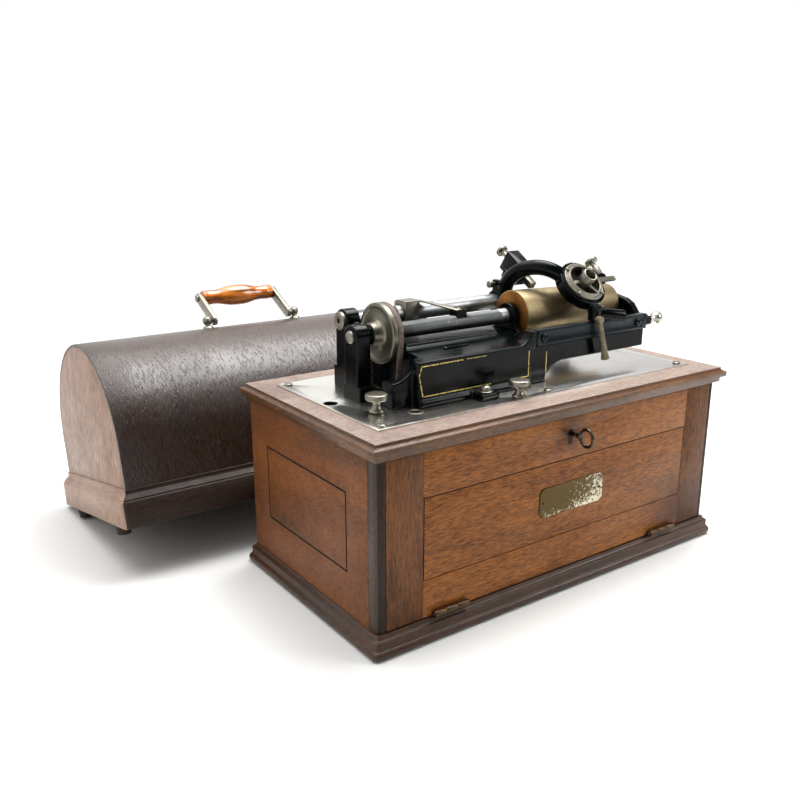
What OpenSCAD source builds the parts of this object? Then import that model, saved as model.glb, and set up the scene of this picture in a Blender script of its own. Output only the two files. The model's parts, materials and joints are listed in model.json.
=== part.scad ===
/* [Case] */
// Width of the wooden body
body_w = 434; // [410:1:470]
// Depth of the wooden body
body_d = 224; // [212:1:250]
// Height from the table to the top of the slab
case_h = 190; // [180:1:220]
// Thickness of the side and back boards
board_t = 12; // [9:0.5:14]
// Thickness of the floor board
floor_t = 8; // [6:0.5:10]
// Height of the base moulding
base_h = 20; // [18:0.5:26]
// How far the base moulding stands out past the body
base_out = 8.4; // [7:0.1:12]
// Radius of the round nose of the base moulding
base_nose = 4.4; // [3.5:0.1:5]
// Thickness of the top slab
slab_t = 15.5; // [14:0.5:20]
// How far the lip of the slab stands out past the body
slab_lip = 7.4; // [6:0.1:11]
// How far the upper face of the slab stands out past the body
slab_edge = 3; // [1:0.1:5]
// Width of the opening in the slab under the bedplate
well_w = 320; // [312:1:330]
// Depth of the opening in the slab under the bedplate
well_d = 150; // [146:1:156]
// Width of the front corner posts
post_w = 8.3; // [6:0.1:11]
// Width of the scored lines on the wood
score_w = 1.2; // [0.6:0.1:2]
// Distance from the edges of a side to its scored rectangle
score_margin = 40; // [30:1:55]

/* [Door] */
// Thickness of the door
door_t = 14; // [12:0.5:18]
// Width of each door stile
stile_w = 38; // [30:1:50]
// Height of the top rail of the door
top_rail_h = 40; // [36:1:46]
// Height of the bottom rail of the door
bottom_rail_h = 35; // [28:1:42]
// Distance of each hinge's middle inwards from its stile
hinge_in = 28.3; // [27:0.1:48]
// Length of each barrel hinge
hinge_l = 38; // [30:1:48]
// Radius of the hinge barrels
hinge_r = 3.2; // [2.8:0.1:3.6]
// Radius of the hinge pins
hinge_pin_r = 1.5; // [1.2:0.1:1.8]
// Width of the bare name plate
name_w = 84; // [60:1:110]
// Height of the bare name plate
name_h = 29; // [20:1:40]
// How far the key's shank stands out of the door
key_out = 13; // [11:1:20]
// Travel of the lock bolt
bolt_travel = 6; // [4:0.5:7]

/* [Bedplate] */
// Width of the bedplate
plate_w = 399; // [390:1:408]
// Depth of the bedplate
plate_d = 178; // [174:1:186]
// Thickness of the bedplate
plate_t = 3; // [2.4:0.1:4]
// How far the bedplate stands proud of the slab
plate_proud = 1.5; // [0.8:0.1:2]
// Radius of the thumbscrew heads
thumb_r = 10; // [8:0.5:11]
// Height of the thumbscrew heads above the plate
thumb_h = 17; // [14:0.5:20]

/* [Top works] */
// Height of the spindle axis above the bedplate
axis_h = 58; // [57:0.5:62]
// Distance of the back rod behind the spindle
rod_y = 41; // [40.5:0.5:43]
// Height of the back rod above the bedplate
rod_h = 65; // [63:0.5:68]
// Radius of the back rod
rod_r = 5.5; // [5:0.1:5.8]
// Depth of the bed casting in front of the spindle
bed_front = 57.4; // [57:0.2:60]
// Height of the front edge of the deck above the bedplate
deck_h = 41; // [38:0.5:42]
// Height of the guide rail's lower edge above the bedplate
rail_h = 37.5; // [36:0.5:39]
// Height of the guide rail bar
rail_bar = 15.5; // [13:0.5:17]

/* [Spindle] */
// Radius of the feed screw
screw_r = 7.8; // [7:0.1:8.4]
// Radius of the large end of the mandrel
mandrel_r1 = 24.8; // [23:0.1:25.5]
// Radius of the small end of the mandrel
mandrel_r2 = 20.7; // [18:0.1:22.5]
// Length of the mandrel
mandrel_l = 138; // [130:1:138]
// Radius of the drive pulley's flange
pulley_r = 28.2; // [27.4:0.1:29]
// Thickness of the belt
belt_t = 2.2; // [1.6:0.1:2.4]
// Width of the belt
belt_w = 5.5; // [4.5:0.1:5.8]

/* [Carriage] */
// Radius of the bright sleeve on the back rod
sleeve_r = 8; // [7.6:0.1:8.4]
// Outside radius of the eye ring
eye_r = 26.5; // [26:0.5:28]
// Radius of the reproducer
repro_r = 21.5; // [20:0.1:22]
// Thickness of the eye ring
eye_t = 11; // [10:0.5:12]
// Width of the shaving box
box_w = 15.5; // [13:0.5:16]
// Length of the shaving box along its screw
box_l = 30; // [26:0.5:31]
// Height of the shaving box
box_h = 22; // [18:0.5:23]

/* [Motor] */
// Distance of the motor shaft below the bedplate
motor_drop = 95; // [90:1:105]
// Radius of the armature
armature_r = 22; // [18:0.5:24]
// Radius of the motor pulley where the belt runs
motor_pulley_r = 12; // [10:0.5:14]
// Radius of the field coils
coil_r = 18; // [15:0.5:18.5]

/* [Cover] */
// Length of the cover over its skirt
cover_l = 440; // [420:1:470]
// Depth of the cover over its skirt
cover_d = 239; // [220:1:260]
// Height of the skirt
skirt_h = 38; // [30:0.5:46]
// How far the skirt stands out past the shell
skirt_out = 8.3; // [6:0.1:11]
// Height of the straight sides above the skirt
cover_side = 37; // [30:1:50]
// Thickness of the bent shell
shell_t = 3; // [2:0.1:5]
// Thickness of the end panels
end_t = 9; // [7:0.5:12]
// Height of the feet under the skirt
foot_h = 12; // [9:0.5:14]
// Distance between the two handle posts
handle_l = 114; // [100:1:130]
// Length of the bail from its pivot to the grip
bail_l = 44; // [40:1:48]
// Lean of the bail from upright, towards the back
bail_lean = 50; // [40:1:60]
// Left end of the cover where it stands
cover_x = -342; // [-360:1:-300]
// Lower front edge of the cover where it lies on the binding posts
cover_y = 139.4; // [136:0.2:142]
// Lean of the cover towards the back
cover_lean = 12.6; // [8:0.2:16]

/* [Clearances] */
// Radial clearance of a turning or sliding fit
run_fit = 0.05; // [0.02:0.01:0.08]
// Radial clearance of a fixed fit
fixed_fit = 0.02; // [0.01:0.01:0.05]
// Gap between pieces that move past each other
move_gap = 0.4; // [0.3:0.05:0.6]
// Gap over the door, so that its back edge clears the slab as it opens
door_gap = 1.6; // [1.4:0.1:3]

/* [Hidden] */
$fn = 64;
eps = 0.05;
slab_z = case_h - slab_t;
plate_z = case_h + plate_proud;
plate_under = plate_z - plate_t;
front_y = -body_d / 2;
inner_w = body_w - 2 * board_t;

door_w = body_w - 2 * post_w - 2 * move_gap;
hinge_x = door_w / 2 - stile_w - hinge_in;
leaf_t = 1.2;
door_z = base_h + leaf_t + move_gap;
door_top = slab_z - door_gap;
door_d = door_t - move_gap;
hinge_y = front_y - hinge_r - 0.3;
hinge_z = base_h + hinge_r + 0.8;
knuckle_l = (hinge_l - 2 * move_gap) / 3;
key_z = door_top - 15.5;
key_shank_r = 2.2;
lock_w = 40;
lock_h = 26;
lock_d = 9;
bolt_w = 16;
bolt_d = 4;
bolt_y = front_y + door_d - bolt_d - 1;
name_t = 1.2;
name_x = 5.5;
name_z = door_z + bottom_rail_h + (door_top - door_z - bottom_rail_h - top_rail_h) / 2;

shank_r = 3;
thumbs = [[-172.5, -46], [-39, -82]];
plate_screw_r = 2;
screw_inset = 8;
plate_screws_at = [
    for (x = [-plate_w / 2 + screw_inset, 0, plate_w / 2 - screw_inset])
        for (y = [-plate_d / 2 + screw_inset, plate_d / 2 - screw_inset]) [x, y]
];
oil_hole = [-plate_w / 2 + 8.8, 1];
oil_hole_r = 6.7;

front_post_x = -169.3;
front_post_t = 14.3;
front_post_w = 11;
rear_post_x = -153;
rear_post_t = 14;
rear_post_w = 11;
bed_x0 = -126;
bed_x1 = 22;
bed_back = rod_y + 16;
deck_rise = 3;
bed_wall = 5;
lug_x = -66;
lug_out = 17;
lug_t = 6;
fin_x = -157.7;
fin_back = 8.4;
panel_x = -136;
foot_top = 23;
foot_block = 12;
column_x = -1.5;
column_back = 3.4;
apron_x = 164.5;
apron_h = 18;
apron_t = 10;
arch_x = 45;
arch_r = 26.4;
rail_x = 6;
rail_t = 8;
rail_end = apron_x;
rail_screws_x = [15, 151];
rod_bracket_x = 138;
rod_bracket_t = 12;
cap_r = 8.6;

shaft_r = 5;
journal_r = 6.5;
collar_x = front_post_x + front_post_t;
collar_l = 4.7;
hub_x = collar_x + collar_l + move_gap;
hub_r = 12;
flange_x = -141.6;
belt_x = -136;
pulley_end = -130;
bearing_x = 16;
bearing_t = 7.5;
bearing_r = 13;
mandrel_x = bearing_x + bearing_t + 0.7;
spindle_end = mandrel_x + mandrel_l + 1;
seat_r = pulley_r - belt_t - 0.3;
belt_y = motor_pulley_r + (seat_r - motor_pulley_r) * motor_drop / (motor_drop + axis_h) + belt_t / 2;

bush_t = 0.75;
bush_r = rod_r + run_fit + bush_t;
sleeve_x0 = -92.8;
sleeve_x1 = 60;
nut_block_x = sleeve_x0 + 7;
nut_block_l = 16.3;
nut_block_w = 10;
nut_block_top = rod_h + sleeve_r + 3.2;
half_nut_x = -52;
half_nut_l = 12;
half_nut_w = 6;
half_nut_top = axis_h + screw_r + 4.4;
strip_t = 1.2;

boss_x0 = 37;
boss_x1 = 56;
boss_r = 12;
lug_rise = 6.6;
eye = [89, -30.6, 85.3];
eye_tilt = 45;
eye_low = [eye[0], eye[1] - eye_r * sin(eye_tilt), eye[2] - eye_r * cos(eye_tilt)];
rail_top = rail_h + rail_bar;
leg_x = 82;
leg_w = 11;
lift_at = [leg_x + 4, eye_low[1] - 3.5, eye_low[2] - 5.2];
lift_r = 5.5;
lift_l = 34.3;
lift_turn = -18.2;
lift_drop = 7.7;
lever_at = [leg_x + 3, -bed_front - 5.4, rail_top + 3];
lever_lean = 16;
lever_l = 43;
lever_pin_r = 1.6;
box_c = [57.2, 38.9, 98.6];
box_tilt = 33;
knife_w = 8;
knife_h = 7;
knife_l = 30;
knife_screw_r = 2.5;
arm_start = [47, rod_y - 5, rod_h + 8];
arm_top = [50, 5, 103];
arm_end = [eye[0] - 17, eye[1] + 12.6, eye[2] + 11.4];
arm_r = 7.8;
eye_lug = [eye_r - 6, 1, 8];
eye_lug_l = 20;
eye_lug_top = 10;
eye_screw_x = eye_lug[0] + 16;
eye_screw_r = 2.4;

gate_x = rail_end + move_gap;
gate_t = 8;
gate_pivot = [gate_x + gate_t / 2, rod_y + 10];
gate_pin_r = 3;
gate_z0 = apron_h + 29;
gate_barrel_r = 6;
gate_barrel_h = 14;
ball_r = 6.9;
ball_x = 187;

motor_z = plate_z - motor_drop;
motor_shaft_r = 4;
motor_pulley_x = -139;
slot_l = 12;
slot_w = 14;
yoke_t = 12;
yoke_x = -30;
core_r = 12;
core_y = well_d / 2 - 20;
pole_h = 20;
pole_l = 60;
hanger_x = [-92, 45];
hanger_t = 8;
hanger_w = 12;
commutator_r = 10;
commutator_x = 4;
commutator_l = 22;
air_gap = 0.8;

shell_l = cover_l - 2 * skirt_out;
shell_r = cover_d / 2 - skirt_out;
cover_mid = cover_x + cover_l / 2;
foot_end_in = 11;
foot_side_in = 46;
foot_r = 7;
cover_z = (cover_d - foot_side_in + foot_r) * sin(cover_lean) + foot_h * cos(cover_lean);
skirt_top = foot_h + skirt_h;
arch_z = skirt_top + cover_side;
crown_z = arch_z + shell_r;
skirt_wall = 14;
binding_at = [cover_mid - 30, cover_mid + 30];
binding_r = 2.5;
binding_cap_r = 6.5;
binding_end = body_d / 2 + 35;
binding_z = cover_z - (binding_end - cover_y) * tan(cover_lean) - binding_cap_r - move_gap;
pivot_h = 8.5;
bail_pin_r = 2;
bail_t = 5;
ball_post_r = 5.5;
bail_in = handle_l / 2 - ball_post_r - move_gap;
grip_half = bail_in - bail_t - fixed_fit;

wood = "#7a5236";
dark_wood = "#4b3f37";
cover_wood = "#4a3a36";
japan = "#15191a";
nickel = "#b5ad94";
steel = "#8d9092";
brass = "#8f7a4a";

// Lays children's solid along X, turned from a solid made along Z
module along_x(x) {
    translate([x, 0, 0]) rotate([0, 90, 0]) children();
}

// A rod along X from x0 to x1
module rod_x(r, x0, x1) {
    along_x(x0) cylinder(r = r, h = x1 - x0);
}

// A rod along Y from y0 to y1
module rod_y(r, y0, y1) {
    translate([0, y1, 0]) rotate([90, 0, 0]) cylinder(r = r, h = y1 - y0);
}

// A plate in the YZ plane, made from a flat shape with Y to the right and Z up
module plate_yz(x, t) {
    translate([x, 0, 0]) rotate([90, 0, 90]) linear_extrude(t) children();
}

// A plate in the XZ plane, made from a flat shape with X to the right and Z up
module plate_xz(y, t) {
    translate([0, y + t, 0]) rotate([90, 0, 0]) linear_extrude(t) children();
}

// An upright with a round top in a flat YZ shape, standing at zero
module arch_shape(w, h) {
    translate([-w, 0]) square([2 * w, h]);
    translate([0, h]) circle(r = w);
}

// A flat shape that ends in the same profile at its left and right edges
module both_edges(w, h) {
    for (turn = [0, 1]) mirror([turn, 0]) translate([w / 2, 0]) children();
    translate([-w / 2, 0]) square([w, h]);
}

// A slab with a profile run round its four edges and mitred at its corners
module moulded_slab(w, d, h) {
    intersection() {
        rotate([90, 0, 0]) linear_extrude(2 * d, center = true) both_edges(w, h) children();
        rotate([90, 0, 90]) linear_extrude(2 * w, center = true) both_edges(d, h) children();
    }
}

// A moulding that runs round a rectangle and is mitred at its corners
module mitred_ring(w, d, inside, h) {
    difference() {
        moulded_slab(w, d, h) children();
        translate([-w / 2 + inside, -d / 2 + inside, -1]) cube([w - 2 * inside, d - 2 * inside, h + 2]);
    }
}

// A slot across a screw head
module slot(r, depth = 1) {
    translate([-r, -0.5, -depth]) cube([2 * r, 1, depth + 1]);
}

// A dome-headed slotted screw, standing on zero with its shank below
module dome_screw(head_r, head_h, r, l) {
    difference() {
        union() {
            intersection() {
                translate([0, 0, head_h - head_r * 1.25]) sphere(r = head_r * 1.25);
                cylinder(r = head_r, h = head_h);
            }
            translate([0, 0, -l]) cylinder(r = r, h = l + eps);
        }
        translate([0, 0, head_h]) slot(head_r, head_h * 0.4);
    }
}

function unit(v) = v / norm(v);

// Centre of the circle through three points
function circle_centre(a, b, c) =
    let (u = b - a, v = c - a, w = cross(u, v))
    a + (cross(w, u) * (v * v) + cross(v, w) * (u * u)) / (2 * w * w);

// A round bar bent along the circle through three points
module bent_bar(a, b, c, r) {
    centre = circle_centre(a, b, c);
    ex = unit(a - centre);
    ez = unit(cross(a - centre, b - centre));
    ey = cross(ez, ex);
    sweep = atan2((c - centre) * ey, (c - centre) * ex);
    multmatrix([[ex[0], ey[0], ez[0], centre[0]], [ex[1], ey[1], ez[1], centre[1]], [ex[2], ey[2],
        ez[2], centre[2]]])
        rotate_extrude(angle = sweep < 0 ? sweep + 360 : sweep)
            translate([norm(a - centre), 0]) circle(r = r, $fn = 32);
}

// A flat bar with round ends in an XZ shape, from zero to the given end
module bar_shape(r0, end, r1) {
    side = unit([-end[1], end[0]]);
    circle(r = r0);
    translate(end) circle(r = r1);
    polygon([side * r0, end + side * r1, end - side * r1, -side * r0]);
}

// Moves a solid of the top works from the bedplate's own level to its place
module on_plate() {
    translate([0, 0, plate_z]) children();
}

// Puts a solid made round the Z axis on the spindle, pointing along X
module on_spindle(x = 0) {
    translate([x, 0, plate_z + axis_h]) rotate([0, 90, 0]) children();
}

// Puts a solid made along X on the back rod
module on_rod() {
    translate([0, rod_y, plate_z + rod_h]) children();
}

// Puts a solid made round the Z axis into the tilted eye ring
module in_eye() {
    translate([eye[0], eye[1], plate_z + eye[2]]) rotate([eye_tilt, 0, 0]) children();
}

// Puts a solid made in the shaving box's own tilted frame in its place
module in_box() {
    translate([box_c[0], box_c[1], plate_z + box_c[2]]) rotate([box_tilt, 0, 0]) children();
}

// Case

module base_profile() {
    translate([-board_t, 0]) square([board_t + base_out - base_nose, 2 * base_nose]);
    translate([base_out - base_nose, base_nose]) circle(r = base_nose);
    difference() {
        translate([-board_t, 0]) square([board_t + base_out - base_nose + 1, base_h]);
        translate([base_out - base_nose + 1, base_h]) circle(r = min(base_out - base_nose,
            base_h - 2 * base_nose - 1));
    }
}

module base_moulding() {
    color(dark_wood) mitred_ring(body_w, body_d, board_t, base_h) base_profile();
}

module case_floor() {
    color(wood) translate([-inner_w / 2 + fixed_fit, -body_d / 2 + board_t + fixed_fit, 0])
        cube([inner_w - 2 * fixed_fit, body_d - 2 * (board_t + fixed_fit), floor_t]);
}

module side_board(outer) {
    y0 = front_y + door_t;
    run = body_d / 2 - y0;
    tall = slab_z - base_h;
    difference() {
        translate([outer > 0 ? outer - board_t : outer, y0, base_h]) cube([board_t, run, tall]);
        translate([outer, y0 + run / 2, base_h + tall / 2]) difference() {
            cube([2 * score_w, run - 2 * score_margin + 14, tall - 2 * score_margin], center = true);
            cube([3 * score_w, run - 2 * score_margin + 14 - 2 * score_w,
                tall - 2 * score_margin - 2 * score_w],
                center = true);
        }
    }
}

module left_side() {
    color(wood) side_board(-body_w / 2);
}

module right_side() {
    color(wood) side_board(body_w / 2);
}

module back_panel() {
    color(wood) difference() {
        translate([-inner_w / 2 + fixed_fit, body_d / 2 - board_t, base_h])
            cube([inner_w - 2 * fixed_fit, board_t, slab_z - base_h]);
        for (x = binding_at)
            translate([x, 0, binding_z]) rod_y(binding_r + fixed_fit, body_d / 2 - board_t - 1,
                body_d / 2 + 1);
    }
}

module binding_posts() {
    color(brass) for (x = binding_at) translate([x, 0, binding_z]) {
        rod_y(binding_r, body_d / 2 - board_t - 4, binding_end - 2);
        rod_y(7, body_d / 2, body_d / 2 + 2.4);
        rod_y(6, body_d / 2 + 6, body_d / 2 + 13);
        rod_y(4, body_d / 2 + 12, binding_end - 10);
        rod_y(binding_cap_r, binding_end - 11, binding_end);
    }
}

// Cross-section of a corner post, whose outer front edge is rounded
module post_shape() {
    round_r = min(post_w, door_t) - 1;
    intersection() {
        square([post_w, door_t]);
        union() {
            translate([round_r, round_r]) circle(r = round_r);
            translate([round_r, 0]) square([post_w, door_t]);
            translate([0, round_r]) square([post_w, door_t]);
        }
    }
}

module corner_posts() {
    color(dark_wood) translate([0, front_y, base_h]) linear_extrude(slab_z - base_h) {
        translate([-body_w / 2, 0]) post_shape();
        translate([body_w / 2, 0]) mirror([1, 0]) post_shape();
    }
}

module slab_profile() {
    lip_z = slab_t * 0.58;
    lip_h = 3;
    translate([-board_t, 0]) square([board_t + slab_edge, slab_t]);
    translate([0, lip_z - lip_h]) square([slab_lip, lip_h]);
    difference() {
        translate([0, lip_z]) square([slab_lip, slab_t - lip_z]);
        translate([slab_lip, slab_t]) circle(r = slab_lip - slab_edge);
        translate([slab_edge, slab_t - (slab_t - lip_z) * 0.4]) square(slab_lip);
    }
    difference() {
        square([slab_lip - 1, lip_z - lip_h]);
        translate([slab_lip - 1, 0]) circle(r = lip_z - lip_h);
    }
}

module top_slab() {
    color(wood) translate([0, 0, slab_z]) difference() {
        moulded_slab(body_w, body_d, slab_t) slab_profile();
        translate([-well_w / 2, -well_d / 2, -1]) cube([well_w, well_d, slab_t + 2]);
        translate([-plate_w / 2 - fixed_fit, -plate_d / 2 - fixed_fit, slab_t - plate_t + plate_proud])
            cube([plate_w + 2 * fixed_fit, plate_d + 2 * fixed_fit, plate_t]);
        for (p = thumbs) translate([p[0], p[1], 1]) cylinder(r = shank_r + move_gap, h = slab_t);
        for (p = plate_screws_at) translate([p[0], p[1], 1])
            cylinder(r = plate_screw_r + fixed_fit, h = slab_t);
        translate([oil_hole[0], oil_hole[1], 1]) cylinder(r = oil_hole_r, h = slab_t);
        translate([-bolt_w / 2 - move_gap, bolt_y, -1])
            cube([bolt_w + 2 * move_gap, bolt_d, bolt_travel + 2]);
    }
}

module bedplate() {
    color("#c9c9c4") difference() {
        translate([-plate_w / 2, -plate_d / 2, plate_under]) cube([plate_w, plate_d, plate_t]);
        for (s = [-1, 1]) translate([motor_pulley_x, s * belt_y - slot_w / 2, plate_under - 1])
            cube([slot_l, slot_w, plate_t + 2]);
        for (p = thumbs) translate([p[0], p[1], plate_under - 1]) cylinder(r = shank_r + run_fit,
            h = plate_t + 2);
        for (p = plate_screws_at)
            translate([p[0], p[1], plate_under - 1]) cylinder(r = plate_screw_r + fixed_fit,
                h = plate_t + 2);
        translate([oil_hole[0], oil_hole[1], plate_under - 1]) cylinder(r = oil_hole_r, h = plate_t + 2);
        translate([lug_x, -bed_front - lug_out / 2, plate_under - 1])
            cylinder(r = plate_screw_r + fixed_fit, h = plate_t + 2);
    }
}

module plate_screws() {
    color(nickel) for (p = plate_screws_at) translate([p[0], p[1], plate_z])
        dome_screw(4, 1.2, plate_screw_r, plate_t + 8);
}

module thumbscrew(p) {
    color(nickel) translate([p[0], p[1], plate_z]) {
        translate([0, 0, -plate_t - 6]) cylinder(r = shank_r, h = plate_t + 7);
        rotate_extrude() polygon([
            [0, move_gap], [6.5, move_gap], [6.5, 2.2], [3.6, 6], [3.4, thumb_h - 8],
            [thumb_r - 3, thumb_h - 5.5], [thumb_r, thumb_h - 5], [thumb_r, thumb_h - 1],
            [thumb_r - 1, thumb_h], [0, thumb_h]
        ]);
    }
}

module thumbscrew_left() {
    thumbscrew(thumbs[0]);
}

module thumbscrew_right() {
    thumbscrew(thumbs[1]);
}

// Door

module door_stiles() {
    color(wood) for (x = [-door_w / 2, door_w / 2 - stile_w])
        translate([x, front_y, door_z]) cube([stile_w, door_d, door_top - door_z]);
}

// Room in the lower edge of the door for a hinge leaf
module door_hinge_cut(s) {
    translate([s * hinge_x - hinge_l / 2, front_y - 1, door_z - 1]) cube([hinge_l, door_t, leaf_t + 1]);
}

module door_rails() {
    rail_w = door_w - 2 * stile_w - 2 * fixed_fit;
    color(wood) {
        difference() {
            translate([-rail_w / 2, front_y, door_z]) cube([rail_w, door_d, bottom_rail_h]);
            for (s = [-1, 1]) door_hinge_cut(s);
        }
        difference() {
            translate([-rail_w / 2, front_y, door_top - top_rail_h]) cube([rail_w, door_d, top_rail_h]);
            translate([0, 0, key_z]) rod_y(key_shank_r + run_fit, front_y - 1, front_y + door_t);
            translate([-lock_w / 2 - fixed_fit, front_y + door_d - lock_d, key_z - lock_h / 2 - fixed_fit])
                cube([lock_w + 2 * fixed_fit, lock_d + 1, lock_h + 2 * fixed_fit]);
            translate([-bolt_w / 2 - move_gap, bolt_y, key_z]) cube([bolt_w + 2 * move_gap, bolt_d,
                door_top]);
        }
    }
}

module door_panel() {
    panel_w = door_w - 2 * stile_w - 2 * fixed_fit;
    panel_z = door_z + bottom_rail_h + fixed_fit;
    panel_h = door_top - top_rail_h - fixed_fit - panel_z;
    color("#8a5a33") difference() {
        translate([-panel_w / 2, front_y, panel_z]) cube([panel_w, door_d, panel_h]);
        for (z = [panel_z, panel_z + panel_h])
            translate([-panel_w / 2 - 1, front_y - 1, z - score_w / 2]) cube([panel_w + 2,
                1 + score_w, score_w]);
        for (s = [-1, 1])
            translate([s * panel_w / 2 - score_w / 2, front_y - 1, panel_z - 1]) cube([score_w,
                1 + score_w, panel_h + 2]);
    }
}

// One knuckle of a barrel hinge, the n-th of three
module knuckle(s, n) {
    x0 = s * hinge_x - hinge_l / 2 + n * (knuckle_l + move_gap);
    translate([0, hinge_y, hinge_z]) difference() {
        rod_x(hinge_r, x0, x0 + knuckle_l);
        rod_x(hinge_pin_r + (n == 1 ? run_fit : fixed_fit), x0 - 1, x0 + knuckle_l + 1);
    }
}

module hinge_leaves() {
    color("#6b4a2c") for (s = [-1, 1]) {
        translate([s * hinge_x - hinge_l / 2, front_y + 0.6, base_h]) cube([hinge_l, door_t - 3, leaf_t]);
        for (n = [0, 2]) {
            knuckle(s, n);
            difference() {
                translate([s * hinge_x - hinge_l / 2 + n * (knuckle_l + move_gap), hinge_y,
                    base_h + move_gap])
                    cube([knuckle_l, front_y + 2 - hinge_y, leaf_t - move_gap]);
                translate([0, hinge_y, hinge_z]) rod_x(hinge_pin_r + fixed_fit, -body_w, body_w);
            }
        }
    }
}

module hinge_pins() {
    color(steel) {
        for (s = [-1, 1]) translate([0, hinge_y, hinge_z])
            rod_x(hinge_pin_r, s * hinge_x - hinge_l / 2, s * hinge_x + hinge_l / 2);
        on_plate() translate([gate_pivot[0], gate_pivot[1], gate_z0 - 10])
            cylinder(r = gate_pin_r, h = gate_barrel_h + 12);
    }
}

module door_hinges() {
    color("#6b4a2c") for (s = [-1, 1]) {
        x0 = s * hinge_x - knuckle_l / 2;
        translate([s * hinge_x - hinge_l / 2 + fixed_fit, front_y, door_z + fixed_fit])
            cube([hinge_l - 2 * fixed_fit, door_t - 2, leaf_t - 2 * fixed_fit]);
        knuckle(s, 1);
        difference() {
            translate([x0, hinge_y, door_z + fixed_fit]) cube([knuckle_l, front_y + 1 - hinge_y,
                leaf_t - 2 * fixed_fit]);
            translate([0, hinge_y, hinge_z]) rod_x(hinge_pin_r + run_fit, -body_w, body_w);
        }
    }
}

module name_plate() {
    corner = 4;
    color("#6f6548") translate([name_x, 0, name_z]) plate_xz(front_y - name_t, name_t) polygon([
        [-name_w / 2 + corner, -name_h / 2], [name_w / 2 - corner, -name_h / 2],
        [name_w / 2, -name_h / 2 + corner], [name_w / 2, name_h / 2 - corner],
        [name_w / 2 - corner, name_h / 2], [-name_w / 2 + corner, name_h / 2],
        [-name_w / 2, name_h / 2 - corner], [-name_w / 2, -name_h / 2 + corner]
    ]);
}

module lock_case() {
    y0 = front_y + door_d - lock_d;
    color(brass) difference() {
        translate([-lock_w / 2, y0 + fixed_fit, key_z - lock_h / 2]) cube([lock_w,
            lock_d - fixed_fit, lock_h]);
        translate([0, 0, key_z]) rod_y(key_shank_r + run_fit, y0 - 1, y0 + 3);
        translate([0, 0, key_z]) rod_y(8, y0 + 1, bolt_y + 0.1);
        translate([-bolt_w / 2 - move_gap, bolt_y, key_z - 2]) cube([bolt_w + 2 * move_gap, bolt_d,
            lock_h]);
    }
}

module lock_bolt() {
    color(steel) translate([-bolt_w / 2, bolt_y + move_gap, key_z - 2 + move_gap])
        cube([bolt_w, bolt_d - 2 * move_gap, door_top - key_z + 1.2]);
}

module key() {
    bow_r = 7.5;
    wire_r = 1.5;
    color("#3a3530") translate([0, 0, key_z]) {
        rod_y(key_shank_r, front_y - key_out, front_y + door_d - lock_d + 3.4);
        rod_y(3, front_y - key_out, front_y - key_out + 3);
        translate([0, front_y - key_out - bow_r + 0.6, 0]) rotate([0, 90, 0]) rotate_extrude()
            translate([bow_r, 0]) circle(r = wire_r);
        translate([-1, front_y + door_d - lock_d + 1.3, -6.5]) cube([2, 2, 6.5]);
    }
}

// Top works

module bed_casting() {
    color(japan) on_plate() difference() {
        union() {
            bed_deck();
            bed_fin();
            bed_apron();
            rod_bracket();
        }
        on_screws() cylinder(r = plate_screw_r + fixed_fit, h = 40, center = true);
        translate([column_x, -bed_front - 9, -1]) cube([apron_x, 9 + column_back, rail_h + 1]);
        translate([rail_x - move_gap, -bed_front - 9, rail_h - fixed_fit]) cube([apron_x,
            9 + rail_t, rail_bar + 9]);
        translate([0, rod_y, rod_h]) rod_x(rod_r + fixed_fit, rod_bracket_x - 1, apron_x);
        translate([gate_pivot[0], gate_pivot[1], gate_z0 - 12])
            cylinder(r = gate_pin_r + fixed_fit, h = 40);
    }
}

// The places and directions of the slotted screws of the bed
module on_screws() {
    translate([lug_x, -bed_front - lug_out / 2, lug_t]) children();
    for (x = rail_screws_x) translate([x, -bed_front, rail_h + rail_bar / 2]) rotate([90, 0, 0]) children();
}

// Hollow deck with its sloped top, its raised pad, its flange and its lug
module bed_deck() {
    difference() {
        plate_yz(bed_x0, bed_x1 - bed_x0) polygon([
            [-bed_front, 0], [bed_back, 0], [bed_back, deck_h + deck_rise],
            [-bed_front + 26, deck_h + deck_rise], [-bed_front, deck_h]
        ]);
        translate([bed_x0 + bed_wall, -bed_front + bed_wall, -1])
            cube([
                bed_x1 - bed_x0 - 2 * bed_wall,
                bed_front + bed_back - 2 * bed_wall,
                deck_h - bed_wall + 1
            ]);
    }
    plate_yz(panel_x, column_x - panel_x) polygon([
        [-bed_front - 3, 0], [-bed_front + 1, 0], [-bed_front + 1, 8], [-bed_front, 8], [-bed_front - 3, 4]
    ]);
    translate([bed_x0 + 8, -14, deck_h]) cube([bearing_x - bed_x0 - 30, 28, deck_rise + 3]);
    translate([lug_x - 10.5, -bed_front - lug_out, 0]) cube([21, lug_out + 1, lug_t]);
}

// Curved fin at the left with its foot
module bed_fin() {
    plate_xz(-bed_front + fin_back, 8) difference() {
        translate([fin_x, 0]) square([bed_x0 + 1 - fin_x, deck_h]);
        translate([fin_x, deck_h + 11.5]) circle(r = deck_h + 11.5 - foot_top);
    }
    translate([fin_x, -bed_front + fin_back, 0]) cube([foot_block, 18, foot_top]);
    translate([panel_x, -bed_front, 0]) cube([bed_x0 + 1 - panel_x, fin_back + 1, deck_h]);
}

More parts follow.
